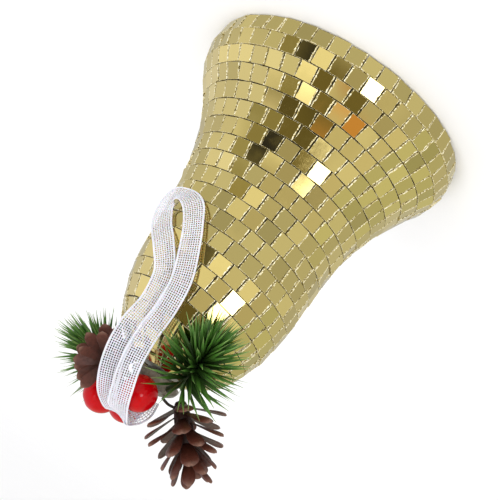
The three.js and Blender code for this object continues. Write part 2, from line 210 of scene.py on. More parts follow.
def make_piece(name, shape, materials, body="root", replaces=(), sharp=35, smooth_levels=0):
    """Makes the mesh object, shades it smooth with sharp edges kept, and puts it on its CAD body."""
    mesh = bpy.data.meshes.new(name)
    mesh.from_pydata([Vector(p) * MM for p in shape.points], [], shape.faces)
    for material in materials:
        mesh.materials.append(material)
    mesh.polygons.foreach_set("material_index", shape.finishes)
    attribute = mesh.attributes.new("shade", "FLOAT", "POINT")
    attribute.data.foreach_set("value", shape.values)
    working = bmesh.new()
    working.from_mesh(mesh)
    bmesh.ops.recalc_face_normals(working, faces=working.faces)
    working.to_mesh(mesh)
    working.free()
    mesh.polygons.foreach_set("use_smooth", [True] * len(mesh.polygons))
    mesh.set_sharp_from_angle(angle=math.radians(sharp))
    piece = bpy.data.objects.new(name, mesh)
    bpy.context.scene.collection.objects.link(piece)
    if smooth_levels:
        subdivision = piece.modifiers.new("smooth surface", "SUBSURF")
        subdivision.levels = smooth_levels
        subdivision.render_levels = smooth_levels
    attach(piece, body)
    if replaces:
        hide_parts(*replaces)
    return piece


def along_curve(points, t):
    """Point at t, from 0 to 1, on a centripetal Catmull-Rom curve through the points."""
    spans = len(points) - 1
    position = min(max(t, 0.0), 1.0) * spans
    span = min(int(position), spans - 1)
    u = position - span
    b = points[span]
    c = points[span + 1]
    a = points[span - 1] if span else 2 * b - c
    d = points[span + 2] if span + 2 <= spans else 2 * c - b
    before, within, after = [max((q - p).length, 1e-9) ** 0.5 for p, q in ((a, b), (b, c), (c, d))]
    start = ((b - a) / before - (c - a) / (before + within) + (c - b) / within) * within
    end = ((c - b) / within - (d - b) / (within + after) + (d - c) / after) * within
    return (b + start * u + (-3 * b + 3 * c - 2 * start - end) * u ** 2
            + (2 * b - 2 * c + start + end) * u ** 3)


def even_steps(points, count):
    """Values of t that split the curve into equal lengths, and its whole length."""
    fine = 40 * (len(points) - 1)
    places = [along_curve(points, i / fine) for i in range(fine + 1)]
    travelled = [0.0]
    for p, q in zip(places, places[1:]):
        travelled.append(travelled[-1] + (q - p).length)
    steps = []
    j = 0
    for i in range(count + 1):
        wanted = travelled[-1] * i / count
        while j < fine - 1 and travelled[j + 1] < wanted:
            j += 1
        share = (wanted - travelled[j]) / (travelled[j + 1] - travelled[j])
        steps.append((j + min(share, 1.0)) / fine)
    return steps, travelled[-1]


def tube_rings(line, radius, sides=10):
    """Rings round a line of points. radius is a number, or a function of the share of the way along."""
    rings = []
    first = (line[1] - line[0]).normalized()
    side = first.orthogonal().normalized()
    for i, point in enumerate(line):
        ahead = line[min(i + 1, len(line) - 1)] - line[max(i - 1, 0)]
        tangent = ahead.normalized()
        side = (side - tangent * side.dot(tangent)).normalized()
        other = tangent.cross(side)
        r = radius(i / (len(line) - 1)) if callable(radius) else radius
        rings.append([
            point + r * (math.cos(a) * side + math.sin(a) * other)
            for a in (2 * math.pi * k / sides for k in range(sides))])
    return rings


def rounded_ends(radius, share):
    """A radius that closes to a round end over the given share of a tube's length."""
    def at(t):
        edge = min(t, 1 - t) / share
        return radius * max(math.sqrt(max(1 - (1 - min(edge, 1.0)) ** 2, 0.0)), 0.12)
    return at


def turned_rings(profile, segments, wobble=None):
    """Rings for a closed profile of (radius, z) turned about Z. wobble shifts a point outwards."""
    rings = []
    for k in range(segments):
        angle = 2 * math.pi * k / segments
        ring = []
        for r, z in profile:
            point = Vector((r * math.cos(angle), r * math.sin(angle), z))
            ring.append(wobble(point) if wobble else point)
        rings.append(ring)
    return rings


def node_points(name):
    """A CAD node's points, in millimetres."""
    return [vertex.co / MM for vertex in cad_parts[name].data.vertices]


def box_mm(name):
    """Lowest and highest corner of a CAD node, in millimetres."""
    low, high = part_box(name)
    return low / MM, high / MM


# ---------------------------------------------------------------- materials

def add_node(tree, kind, settings=None, links=None):
    """Adds a node, sets its sockets (by name or number) and its own values, and links sockets to it."""
    node = tree.nodes.new(kind)
    for key, value in (settings or {}).items():
        if isinstance(key, int) or key in node.inputs:
            node.inputs[key].default_value = value
        else:
            setattr(node, key, value)
    for key, socket in (links or {}).items():
        tree.links.new(socket, node.inputs[key])
    return node


def new_material(name, **constants):
    """A material with one Principled shader, its constants set on the shader's own sockets."""
    material = bpy.data.materials.new(name)
    material.use_nodes = True
    tree = material.node_tree
    tree.nodes.clear()
    shader = add_node(tree, "ShaderNodeBsdfPrincipled")
    for key, value in constants.items():
        shader.inputs[key.replace("_", " ")].default_value = value
    add_node(tree, "ShaderNodeOutputMaterial", links={"Surface": shader.outputs["BSDF"]})
    return material, tree, shader


def opaque(colour):
    return (*colour, 1.0)


def colour_ramp(tree, factor, stops):
    """A colour ramp over the factor. stops are (place, linear colour)."""
    ramp = add_node(tree, "ShaderNodeValToRGB", links={"Fac": factor})
    elements = ramp.color_ramp.elements
    while len(elements) < len(stops):
        elements.new(0.5)
    for element, (place, colour) in zip(elements, stops):
        element.position = place
        element.color = opaque(colour)
    return ramp.outputs["Color"]


def grain(tree, per_mm, detail=3.0, roughness=0.55, stretch=(1, 1, 1)):
    """Noise in object space with this many features to a millimetre."""
    place = add_node(tree, "ShaderNodeTexCoord").outputs["Object"]
    scaled = add_node(tree, "ShaderNodeMapping", {"Scale": stretch}, {"Vector": place})
    field = add_node(
        tree, "ShaderNodeTexNoise",
        {"Scale": per_mm / MM, "Detail": detail, "Roughness": roughness},
        {"Vector": scaled.outputs["Vector"]})
    return field.outputs["Fac"]


def spread(tree, factor, low, high):
    """The factor's middle range taken to low..high."""
    return add_node(
        tree, "ShaderNodeMapRange",
        {"From Min": 0.3, "From Max": 0.7, "To Min": low, "To Max": high},
        {"Value": factor}).outputs["Result"]


def bump(tree, shader, height, depth_mm, strength=1.0):
    """Bumps the shader's normal by a height field."""
    relief = add_node(
        tree, "ShaderNodeBump", {"Strength": strength, "Distance": depth_mm * MM}, {"Height": height})
    tree.links.new(relief.outputs["Normal"], shader.inputs["Normal"])


def mottle(tree, colour, field, low, high, least, strength):
    """The colour, darkened towards this share of itself where the field is low."""
    shadow = colour_ramp(tree, field, [(low, [least] * 3), (high, [1.0] * 3)])
    mix = add_node(
        tree, "ShaderNodeMix", {"data_type": "RGBA", "blend_type": "MULTIPLY", 0: strength},
        {6: colour, 7: shadow})
    return mix.outputs[2]


def shade_of(tree):
    """The value that each point carries."""
    return add_node(tree, "ShaderNodeAttribute", {"attribute_name": "shade"}).outputs["Fac"]


def scaled_colour(colour, factor):
    return [min(c * factor, 1.0) for c in colour]


def gold_mirror(gold):
    """Gold-tinted mirror glass, silvered and cut: clear reflections in gold, each tile a touch different."""
    material, tree, shader = new_material("gold_mirror_glass", Metallic=1.0)
    tones = colour_ramp(tree, shade_of(tree), [
        (0.0, scaled_colour(gold, 0.72)),
        (0.22, scaled_colour(gold, 0.92)),
        (0.6, gold),
        (1.0, scaled_colour(gold, 1.24))])
    tree.links.new(tones, shader.inputs["Base Color"])
    # Handling leaves smears a few millimetres across that dull the mirror slightly.
    smears = spread(tree, grain(tree, 0.22, detail=4.0), 0.025, 0.1)
    tree.links.new(smears, shader.inputs["Roughness"])
    # The backing pulls the thin mirror very slightly out of flat, so reflections bend a little.
    bump(tree, shader, grain(tree, 0.12, detail=1.0), 0.012, 0.4)
    return material


def cut_mirror_edge():
    """Scored and snapped glass with gold behind it: glassy and rough where it broke, and bright with painted
    glints.
    """
    material, tree, shader = new_material("snapped_mirror_edge", IOR=1.52)
    shader.inputs["Specular IOR Level"].default_value = 0.6
    fracture_and_glints = grain(tree, 2.2, detail=4.0)
    # The same noise roughens and bumps the broken edge and colours it from dark olive to near white; the
    # near-white patches are painted glints for light caught on the edge.
    colours = colour_ramp(tree, fracture_and_glints, [
        (0.36, linear("#5A4C1E")),
        (0.46, linear("#C4B062")),
        (0.58, linear("#FFF9D8"))])
    tree.links.new(colours, shader.inputs["Base Color"])
    tree.links.new(spread(tree, fracture_and_glints, 0.45, 0.12), shader.inputs["Roughness"])
    bump(tree, shader, fracture_and_glints, 0.06, 0.6)
    return material


def dark_adhesive():
    """Contact adhesive, brushed on and set dark: it shows only as deep lines between the tiles."""
    material, tree, shader = new_material("brushed_contact_adhesive", Roughness=0.55)
    colours = colour_ramp(tree, grain(tree, 0.5), [
        (0.3, linear("#1C1808")),
        (0.7, linear("#5A4E22"))])
    tree.links.new(colours, shader.inputs["Base Color"])
    bump(tree, shader, grain(tree, 1.5), 0.15)
    return material


def moulded_shell():
    """Polystyrene shell, injection moulded: off-white and satin, with a faint orange-peel surface."""
    material, tree, shader = new_material("moulded_polystyrene_shell", IOR=1.59)
    colours = colour_ramp(tree, grain(tree, 0.05), [
        (0.3, linear("#CFCBBE")),
        (0.7, linear("#DEDBD1"))])
    tree.links.new(colours, shader.inputs["Base Color"])
    tree.links.new(spread(tree, grain(tree, 0.3), 0.38, 0.52), shader.inputs["Roughness"])
    bump(tree, shader, grain(tree, 0.9, detail=2.0), 0.04, 0.5)
    return material


def bright_brass():
    """Brass wire and spun brass, lacquered: warm yellow metal, a little dulled by handling."""
    material, tree, shader = new_material("lacquered_brass", Metallic=1.0)
    colours = colour_ramp(tree, grain(tree, 0.3, detail=5.0), [
        (0.3, linear("#B8924A")),
        (0.65, linear("#D9B968"))])
    tree.links.new(colours, shader.inputs["Base Color"])
    tree.links.new(spread(tree, grain(tree, 0.8), 0.2, 0.36), shader.inputs["Roughness"])
    # Drawing and polishing lines, about 0.1 mm apart in the metal, drawn four times coarser to show.
    bump(tree, shader, grain(tree, 2.5, stretch=(1, 1, 0.15)), 0.02, 0.4)
    return material


def zinc_steel():
    """Zinc-plated steel: cool grey metal with the cloudy bloom of plating."""
    material, tree, shader = new_material("zinc_plated_steel", Metallic=1.0)
    colours = colour_ramp(tree, grain(tree, 0.6, detail=5.0), [
        (0.3, linear("#8E8F8C")),
        (0.7, linear("#C2C4C4"))])
    tree.links.new(colours, shader.inputs["Base Color"])
    tree.links.new(spread(tree, grain(tree, 1.0), 0.26, 0.44), shader.inputs["Roughness"])
    return material


def annealed_wire():
    """Annealed iron florist's wire: dull dark metal with a scaly skin."""
    material, tree, shader = new_material("annealed_iron_wire", Metallic=1.0)
    scale = grain(tree, 1.5, detail=4.0)
    colours = colour_ramp(tree, scale, [
        (0.3, linear("#33302C")),
        (0.7, linear("#5A5650"))])
    tree.links.new(colours, shader.inputs["Base Color"])
    tree.links.new(spread(tree, scale, 0.4, 0.6), shader.inputs["Roughness"])
    return material


def hot_melt_glue():
    """Hot-melt glue, set: slightly see-through and smooth where it flowed, coloured a dull grey-beige darker
    than set glue, as painted shade for its place under the spray.
    """
    material, tree, shader = new_material("set_hot_melt_glue", IOR=1.48)
    shader.inputs["Subsurface Weight"].default_value = 0.35
    shader.inputs["Subsurface Radius"].default_value = (1.0, 0.9, 0.7)
    shader.inputs["Subsurface Scale"].default_value = 1.2 * MM
    # The grey-beige is darker than the glue itself: painted shade under the pine, cones and berries.
    colours = colour_ramp(tree, grain(tree, 0.25), [
        (0.3, linear("#6E6858")),
        (0.7, linear("#968F7E"))])
    tree.links.new(colours, shader.inputs["Base Color"])
    tree.links.new(spread(tree, grain(tree, 0.5), 0.22, 0.4), shader.inputs["Roughness"])
    return material


def lacquered_berry(red):
    """Foam berry dipped in lacquer: deep red and wet-looking, with small sharp highlights."""
    material, tree, shader = new_material("dipped_berry_lacquer", IOR=1.45)
    shader.inputs["Specular IOR Level"].default_value = 0.28
    # Darker round the stem: painted shade in the dimple. The near-black at the far end is the blossom pip's
    # own colour.
    colours = colour_ramp(tree, shade_of(tree), [
        (0.0, red),
        (0.75, scaled_colour(red, 0.7)),
        (1.0, linear("#2A0404"))])
    mottled = mottle(tree, colours, grain(tree, 0.35), 0.35, 0.65, least=0.75, strength=0.35)
    tree.links.new(mottled, shader.inputs["Base Color"])
    tree.links.new(spread(tree, grain(tree, 0.6), 0.06, 0.13), shader.inputs["Roughness"])
    bump(tree, shader, grain(tree, 0.18, detail=2.0), 0.12, 0.35)
    return material


def wrapped_stem():
    """Paper-wrapped florist's wire, dyed dark red: matt, with the wrap's fine ridges."""
    material, tree, shader = new_material("paper_wrapped_wire", Roughness=0.75)
    colours = colour_ramp(tree, grain(tree, 0.8), [
        (0.3, linear("#4E0A0C")),
        (0.7, linear("#8A1416"))])
    tree.links.new(colours, shader.inputs["Base Color"])
    bump(tree, shader, grain(tree, 1.2, stretch=(1, 1, 4)), 0.08)
    return material


def moulded_needles(green):
    """Polyethylene foliage, moulded: satin green and yellower at the tip, with painted shade darkening the
    root where the needles crowd round the twig.
    """
    material, tree, shader = new_material("moulded_polyethylene_needle", Roughness=0.36, IOR=1.5)
    # Towards the root the green falls to under a third of itself: painted shade where the needles crowd round
    # the twig. The yellow-green tips are the needles' own colour.
    along = colour_ramp(tree, shade_of(tree), [
        (0.0, scaled_colour(green, 0.28)),
        (0.4, scaled_colour(green, 0.8)),
        (0.72, linear("#4A7B2A")),
        (1.0, linear("#93B166"))])
    patchy = mottle(tree, along, grain(tree, 0.3), 0.35, 0.65, least=0.6, strength=0.6)
    tree.links.new(patchy, shader.inputs["Base Color"])
    bump(tree, shader, grain(tree, 1.6), 0.04, 0.5)
    return material


def dried_cone(brown):
    """Small natural cone, dried and waxed: woody brown scales, darkened towards their roots with painted
    shade and lightened at their rims with a painted highlight.
    """
    material, tree, shader = new_material("dried_waxed_cone", IOR=1.45)
    # Near-black at the root, where the scales overlap: painted shade. The pale rim at the tip: a painted
    # highlight.
    along = colour_ramp(tree, shade_of(tree), [
        (0.0, scaled_colour(brown, 0.16)),
        (0.4, scaled_colour(brown, 0.6)),
        (0.86, brown),
        (1.0, linear("#7C5848"))])
    fibre = grain(tree, 1.1, detail=5.0, roughness=0.65)
    woody = mottle(tree, along, fibre, 0.32, 0.62, least=0.55, strength=0.75)
    tree.links.new(woody, shader.inputs["Base Color"])
    tree.links.new(spread(tree, fibre, 0.5, 0.34), shader.inputs["Roughness"])
    bump(tree, shader, fibre, 0.16, 0.8)
    return material


def nylon_mesh(white):
    """Woven nylon thread: soft white, a little sheen along the thread, see-through between threads."""
    material, tree, shader = new_material("woven_nylon_thread", Roughness=0.45, IOR=1.53)
    shader.inputs["Sheen Weight"].default_value = 0.25
    shader.inputs["Sheen Roughness"].default_value = 0.4
    shader.inputs["Subsurface Weight"].default_value = 0.15
    shader.inputs["Subsurface Scale"].default_value = 0.2 * MM
    colours = colour_ramp(tree, grain(tree, 0.25, detail=2.0), [
        (0.3, scaled_colour(white, 0.86)),
        (0.7, white)])
    tree.links.new(colours, shader.inputs["Base Color"])
    return material


def painted_floor(colour):
    """Studio floor in matt emulsion: pale and even, with a barely visible roller texture."""
    material, tree, shader = new_material("matt_emulsion_floor", Roughness=0.85)
    colours = colour_ramp(tree, grain(tree, 0.02), [
        (0.3, scaled_colour(colour, 0.985)),
        (0.7, colour)])
    tree.links.new(colours, shader.inputs["Base Color"])
    return material


# ---------------------------------------------------------------- stage: camera, floor and light

# Soft boxes, screens and dark gaps round the stage, as seen from the bell. Azimuth 0 is the
# camera's side and 90 is +X; centre and half size are in degrees, then softness and colour.
SURROUNDINGS = [
    # grey-green wall at the left, darker than the right
    {"at": (-125, 20), "half": (62, 80), "soft": 22, "colour": (0.6, 0.62, 0.52)},
    # cool bright wall at the right
    {"at": (118, 30), "half": (46, 80), "soft": 18, "colour": (0.86, 0.86, 0.94)},
    # dim room behind the camera, and what lies in front of the bell
    {"at": (0, 24), "half": (62, 34), "soft": 18, "colour": (0.64, 0.61, 0.54)},
    {"at": (0, -40), "half": (190, 34), "soft": 10, "colour": (0.62, 0.62, 0.6)},
    # ceiling behind the shelf
    {"at": (0, 64), "half": (80, 13), "soft": 8, "colour": (0.72, 0.75, 0.68)},
    # pale screens that catch the upper rows
    {"at": (30, 46), "half": (12, 8), "soft": 3, "colour": (0.95, 0.93, 0.86)},
    {"at": (-44, 18), "half": (8, 22), "soft": 3, "colour": (0.92, 0.9, 0.84)},
    {"at": (24, 0), "half": (9, 11), "soft": 3, "colour": (0.95, 0.93, 0.87)},
    # wooden shelf high in front
    {"at": (-14, 40), "half": (32, 7), "soft": 2, "colour": (0.84, 0.42, 0.16)},
    # window to the left of the camera
    {"at": (-21, 11), "half": (8, 9), "soft": 3, "colour": (7.0, 6.9, 7.2)},
    # dark gap round the camera, darkest in its middle
    {"at": (8, 25), "half": (19, 13), "soft": 3, "colour": (0.2, 0.17, 0.08)},
    {"at": (10, 22), "half": (8, 6), "soft": 3, "colour": (0.05, 0.045, 0.02)},
    # tall olive stand to the right, black at its foot, with a lit screen over it
    {"at": (46, 16), "half": (12, 25), "soft": 3, "colour": (0.33, 0.3, 0.18)},
    {"at": (44, 2), "half": (8, 6), "soft": 3, "colour": (0.03, 0.03, 0.04)},
    {"at": (45, 24), "half": (7, 7), "soft": 3, "colour": (0.14, 0.12, 0.06)},
    {"at": (68, 11), "half": (7, 8), "soft": 4, "colour": (0.4, 0.38, 0.26)},
    {"at": (36, 36), "half": (8, 5), "soft": 3, "colour": (1.9, 1.85, 1.9)},
    {"at": (60, 27), "half": (6, 4), "soft": 3, "colour": (1.3, 1.25, 1.3)},
]
OPEN_ROOM = (0.8, 0.8, 0.78)
BACKDROP = (1.05, 1.05, 1.06)


def window_mask(tree, azimuth, elevation, area):
    """1 inside a rectangle of directions, falling softly to 0 outside it."""
    masks = []
    for angle, middle, half in zip((azimuth, elevation), area["at"], area["half"]):
        off = add_node(tree, "ShaderNodeMath", {"operation": "SUBTRACT", 1: middle}, {0: angle})
        size = add_node(tree, "ShaderNodeMath", {"operation": "ABSOLUTE"}, {0: off.outputs[0]})
        masks.append(add_node(
            tree, "ShaderNodeMapRange",
            {"interpolation_type": "SMOOTHSTEP", "From Min": half - area["soft"] / 2,
             "From Max": half + area["soft"] / 2, "To Min": 1.0, "To Max": 0.0},
            {"Value": size.outputs[0]}).outputs["Result"])
    both = add_node(tree, "ShaderNodeMath", {"operation": "MULTIPLY"}, {0: masks[0], 1: masks[1]})
    return both.outputs[0]


def make_surroundings():
    """The room that the mirrors and the gloss reflect. Matt surfaces are lit by a plain pale backdrop."""
    world = bpy.data.worlds.new("studio")
    bpy.context.scene.world = world
    world.use_nodes = True
    tree = world.node_tree
    tree.nodes.clear()
    direction = add_node(tree, "ShaderNodeTexCoord").outputs["Generated"]
    parts = add_node(tree, "ShaderNodeSeparateXYZ", links={0: direction}).outputs
    toward_camera = add_node(tree, "ShaderNodeMath", {"operation": "MULTIPLY", 1: -1.0}, {0: parts["Y"]})
    turn = add_node(
        tree, "ShaderNodeMath", {"operation": "ARCTAN2"}, {0: parts["X"], 1: toward_camera.outputs[0]})
    azimuth = add_node(tree, "ShaderNodeMath", {"operation": "DEGREES"}, {0: turn.outputs[0]}).outputs[0]
    rise = add_node(tree, "ShaderNodeMath", {"operation": "ARCSINE"}, {0: parts["Z"]})
    elevation = add_node(tree, "ShaderNodeMath", {"operation": "DEGREES"}, {0: rise.outputs[0]}).outputs[0]
    colour = None
    for area in SURROUNDINGS:
        mask = window_mask(tree, azimuth, elevation, area)
        mix = add_node(
            tree, "ShaderNodeMix", {"data_type": "RGBA", 6: opaque(OPEN_ROOM), 7: opaque(area["colour"])},
            {0: mask})
        if colour is not None:
            tree.links.new(colour, mix.inputs[6])
        colour = mix.outputs[2]
    seen = add_node(tree, "ShaderNodeBackground", {"Color": opaque(BACKDROP)})
    room = add_node(tree, "ShaderNodeBackground", links={"Color": colour})
    kind = add_node(tree, "ShaderNodeLightPath").outputs
    plain = add_node(
        tree, "ShaderNodeMath", {"operation": "MAXIMUM"},
        {0: kind["Is Camera Ray"], 1: kind["Is Diffuse Ray"]})
    either = add_node(
        tree, "ShaderNodeMixShader", links={0: plain.outputs[0], 1: room.outputs[0], 2: seen.outputs[0]})
    add_node(tree, "ShaderNodeOutputWorld", links={"Surface": either.outputs[0]})


def add_soft_light(name, azimuth, elevation, distance, size, power, colour):
    """A round area light that faces the middle of the bell. Mirrors don't show it: the room has its own."""
    light = bpy.data.lights.new(name, "AREA")
    light.shape = "DISK"
    light.size = size
    light.energy = power
    light.color = colour
    lamp = bpy.data.objects.new(name, light)
    bpy.context.scene.collection.objects.link(lamp)
    a, e = math.radians(azimuth), math.radians(elevation)
    out = Vector((math.sin(a) * math.cos(e), -math.cos(a) * math.cos(e), math.sin(e)))
    lamp.location = Vector((0, 0, 0.06)) + out * distance
    lamp.rotation_mode = "QUATERNION"
    lamp.rotation_quaternion = out.to_track_quat("Z", "Y")
    lamp.visible_glossy = False


class BELL_OT_stage(bpy.types.Operator):
    """Sets the camera, the pale floor and the soft light"""

    bl_idname = "bell.stage"
    bl_label = "Stage"

    def execute(self, context):
        settings = context.scene.bell_stage
        self.add_camera(context, settings)
        half = settings.floor_size / 2
        corners = [(-half, -half, 0), (half, -half, 0), (half, half, 0), (-half, half, 0)]
        mesh = bpy.data.meshes.new("floor")
        mesh.from_pydata(corners, [], [(0, 1, 2, 3)])
        mesh.materials.append(painted_floor(settings.floor_colour))
        floor = bpy.data.objects.new("floor", mesh)
        context.scene.collection.objects.link(floor)
        # The mirrors and the gloss see the room below the bell instead of its pale floor.
        floor.visible_glossy = False
        make_surroundings()
        add_soft_light("key_light", 40, 50, 0.9, 0.4, 1.6, (1.0, 0.98, 0.95))
        add_soft_light("fill_light", -35, 30, 1.0, 0.7, 0.5, (0.95, 0.97, 1.0))
        add_soft_light("back_light", 165, 50, 1.0, 0.6, 0.6, (1.0, 1.0, 1.0))
        context.scene.view_settings.view_transform = "Standard"
        return {"FINISHED"}

    def add_camera(self, context, settings):
        e, roll = settings.elevation, settings.roll
        forward = Vector((0, math.cos(e), -math.sin(e)))
        level_right = Vector((1, 0, 0))
        level_up = Vector((0, math.sin(e), math.cos(e)))
        right = math.cos(roll) * level_right + math.sin(roll) * level_up
        up = -math.sin(roll) * level_right + math.cos(roll) * level_up
        data = bpy.data.cameras.new("camera")
        data.lens = settings.lens
        data.sensor_width = 36.0
        data.clip_start = 0.01
        data.clip_end = 20.0
        camera = bpy.data.objects.new("camera", data)
        context.scene.collection.objects.link(camera)
        camera.matrix_world = Matrix.Translation(Vector(settings.target) - forward * settings.distance) @ \
            Matrix((right, up, -forward)).transposed().to_4x4()
        context.scene.camera = camera


# ---------------------------------------------------------------- hanging loop of ribbon

# Centre line from the glue over the berries, down the flank, round the end and back,
# and the direction across the ribbon at each point, in millimetres.
RIBBON_ROUTE = [
    ((-1.6, 0.4, 102.2), (1, 0.1, 0)),
    ((-1.6, -1.2, 106.4), (1, 0.2, 0)),
    ((0.4, -1.4, 109.4), (0.9, 0.3, -0.3)),
    ((2.4, -4.8, 110.8), (0.9, -0.3, -0.2)),
    ((4.4, -10.8, 110.1), (1, -0.1, 0)),
    ((5.9, -15.9, 106.4), (1, 0.1, 0)),
    ((7.6, -17.9, 100.1), (1, 0.1, 0)),
    ((8.2, -18.8, 91.7), (1, 0.15, 0)),
    ((7.8, -21.6, 83.7), (1, 0.3, 0)),
    ((8.6, -23.8, 75.5), (1, 0.4, 0.2)),
    ((11.2, -23.6, 68.0), (1, 0.5, 0.3)),
    ((14.2, -22.4, 61.0), (0.9, 0.6, 0.4)),
    ((17.3, -20.4, 55.7), (0.6, 0.1, 0.8)),
    ((20.4, -17.4, 53.5), (0.2, -0.5, 0.85)),
    ((23.3, -13.6, 54.3), (-0.5, -0.7, 0.3)),
    ((23.6, -11.8, 58.2), (-0.7, -0.7, 0.0)),
    ((21.7, -14.2, 63.2), (-0.8, -0.6, -0.3)),
    ((18.1, -18.4, 68.6), (-0.9, -0.5, -0.4)),
    ((13.9, -20.1, 75.2), (-0.9, -0.5, -0.2)),
    ((12.6, -17.3, 82.9), (-1, -0.5, 0)),
    ((13.4, -15.7, 91.5), (-1, -0.2, 0)),
    ((12.7, -15.4, 99.0), (-1, -0.1, 0)),
    ((10.7, -12.6, 105.2), (-1, 0, 0)),
    ((7.9, -7.2, 109.2), (-1, 0.1, 0.1)),
    ((3.6, -2.1, 110.5), (-0.85, 0.4, 0)),
    ((1.4, 0.8, 109.0), (-0.9, 0.1, 0.3)),
    ((0.8, 0.8, 106.2), (-1, -0.1, 0)),
    ((0.6, 0.8, 102.2), (-1, -0.1, 0)),
]


def ribbon_frames(half_pitch):
    """Places along the ribbon as (point, across, face normal), half_pitch apart, and its length."""
    points = [Vector(at) for at, _ in RIBBON_ROUTE]
    across_points = [Vector(across) for _, across in RIBBON_ROUTE]
    length = even_steps(points, 1)[1]
    count = round(length / half_pitch)
    steps, length = even_steps(points, count)
    frames = []
    for t in steps:
        tangent = (along_curve(points, t + 0.001) - along_curve(points, t - 0.001)).normalized()
        across = along_curve(across_points, t)
        across = (across - tangent * across.dot(tangent)).normalized()
        frames.append((along_curve(points, t), across, tangent.cross(across)))
    return frames, length


def woven_thread(shape, line, face, half_width, half_thickness, sides=4):
    """A flattened thread along a line of points, its section turned to the ribbon's face."""
    rings = []
    for i, (point, normal) in enumerate(zip(line, face)):
        tangent = (line[min(i + 1, len(line) - 1)] - line[max(i - 1, 0)]).normalized()
        side = tangent.cross(normal).normalized()
        other = side.cross(tangent)
        rings.append([
            point + half_width * math.cos(a) * side + half_thickness * math.sin(a) * other
            for a in (math.pi * (2 * k + 1) / sides for k in range(sides))])
    shape.add_rings(rings)


class BELL_OT_ribbon(bpy.types.Operator):
    bl_idname = "bell.ribbon"
    bl_label = "Ribbon loop"

    def execute(self, context):
        settings = context.scene.bell_ribbon
        # A four-sided section reaches 0.71 of these out from its middle.
        broad = settings.thread / MM / 2 * 1.41
        slim = broad * 0.85
        thick = settings.thread_thickness / MM / 2 * 1.41
        crimp = settings.thread_thickness / MM * 0.45
        frames, length = ribbon_frames(settings.weft_pitch / MM / 2)
        half_width = settings.width / MM / 2
        selvedge = 0.24
        warps = self.warp_places(settings.warp_pitch / MM, half_width - 2 * selvedge)
        shape = Shape()
        for j, place in enumerate(warps):
            line = [
                point + place * across + normal * crimp * math.cos(math.pi * (i / 2 + j))
                for i, (point, across, normal) in enumerate(frames)]
            woven_thread(shape, line, [normal for _, _, normal in frames], broad, thick)
        for edge in (-1, 1):
            line = [point + edge * (half_width - selvedge) * across for point, across, _ in frames]
            woven_thread(shape, line, [normal for _, _, normal in frames], selvedge, 0.17, sides=6)
        reach = half_width - selvedge
        for i in range(0, len(frames), 2):
            point, across, normal = frames[i]
            places = self.weft_places(warps, reach)
            line = []
            for place, phase in places:
                line.append(point + place * across - normal * crimp * phase * (-1) ** (i // 2))
            woven_thread(shape, line, [normal] * len(line), slim, thick)
        ribbon = make_piece(
            "ribbon", shape, [nylon_mesh(settings.white)], replaces=["ribbon_loop"],
            sharp=100)
        return {"FINISHED"}

    def warp_places(self, pitch, reach):
        gaps = round(2 * reach / pitch)
        return [-reach + 2 * reach * i / gaps for i in range(gaps + 1)]

    def weft_places(self, warps, reach):
        """Where a weft crosses each warp, and halfway between, with the side it passes on."""
        places = [(-reach, 0.0)]
        for j, place in enumerate(warps):
            places.append((place, (-1) ** j))
            if j + 1 < len(warps):
                places.append(((place + warps[j + 1]) / 2, 0.0))
        places.append((reach, 0.0))
        return places


# ---------------------------------------------------------------- bell: tiles, adhesive and shell

class Outline:
    """Outside of the tiles from the rim to the crown, read from the frame's rows of tiles."""

    def __init__(self):
        self.rows = []
        self.places = []
        for name in sorted(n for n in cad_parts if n.startswith("tile_row_")):
            corners = {}
            angles = set()
            for point in node_points(name):
                radius = math.hypot(point.x, point.y)
                corners[(round(radius, 1), round(point.z, 1))] = (radius, point.z)
                angles.add(round(math.atan2(point.y, point.x), 3))
            pairs = sorted(corners.values(), key=lambda pair: pair[1])
            low = max(pairs[:2], key=sum)
            high = max(pairs[-2:], key=sum)
            start = min(a for a in angles if a > -math.pi + 0.002)
            self.rows.append({"name": name, "tiles": len(angles), "start": start})
            self.places.extend([low, high])
        self.distances = [0.0]
        for p, q in zip(self.places, self.places[1:]):
            self.distances.append(self.distances[-1] + math.dist(p, q))

    def at(self, distance):
        """Radius and height this far along the outline from the first row's lower edge."""
        last = len(self.places) - 2
        i = 0
        while i < last and self.distances[i + 1] < distance:
            i += 1
        share = (distance - self.distances[i]) / (self.distances[i + 1] - self.distances[i])
        (r0, z0), (r1, z1) = self.places[i], self.places[i + 1]
        return r0 + (r1 - r0) * share, z0 + (z1 - z0) * share

    def behind(self, distance, depth):
        """The point this deep behind the tiles' faces."""
        r0, z0 = self.at(distance - 2.5)
        r1, z1 = self.at(distance + 2.5)
        length = math.hypot(r1 - r0, z1 - z0)
        r, z = self.at(distance)
        return r - depth * (z1 - z0) / length, z + depth * (r1 - r0) / length

    def radius_at_height(self, z):
        """Outside radius of the bell at a height."""
        for (r0, z0), (r1, z1) in zip(self.places, self.places[1:]):
            if z0 <= z <= z1 and z1 > z0:
                return r0 + (r1 - r0) * (z - z0) / (z1 - z0)
        return self.places[0][0] if z < self.places[0][1] else 0.0


OUTLINE = Outline()
TOP_JOINT = 0.04          # share of a pitch that the last row does without
PITCH = OUTLINE.distances[-1] / (len(OUTLINE.rows) - TOP_JOINT)

BACKING = 1.5             # faces of the tiles to the outside of the shell
WALL = 2.0
HOLE_RADIUS = 1.3         # hole in the crown, and the bores of the washer and the nut
LIP = 0.6                 # flat ring of shell round the hole
WASHER_ROOM = 4.4         # the adhesive stops this far out from the axis

TILE_ARRIS = 0.07         # depth of the broken edge round a tile's face
CHIP_SIZES = (0.08, 0.14, 0.22, 0.34)
CARELESS_SHARE = 0.12     # tiles that were laid less carefully than the rest
CARELESS_LEAN = 2.2       # how many times further those lean


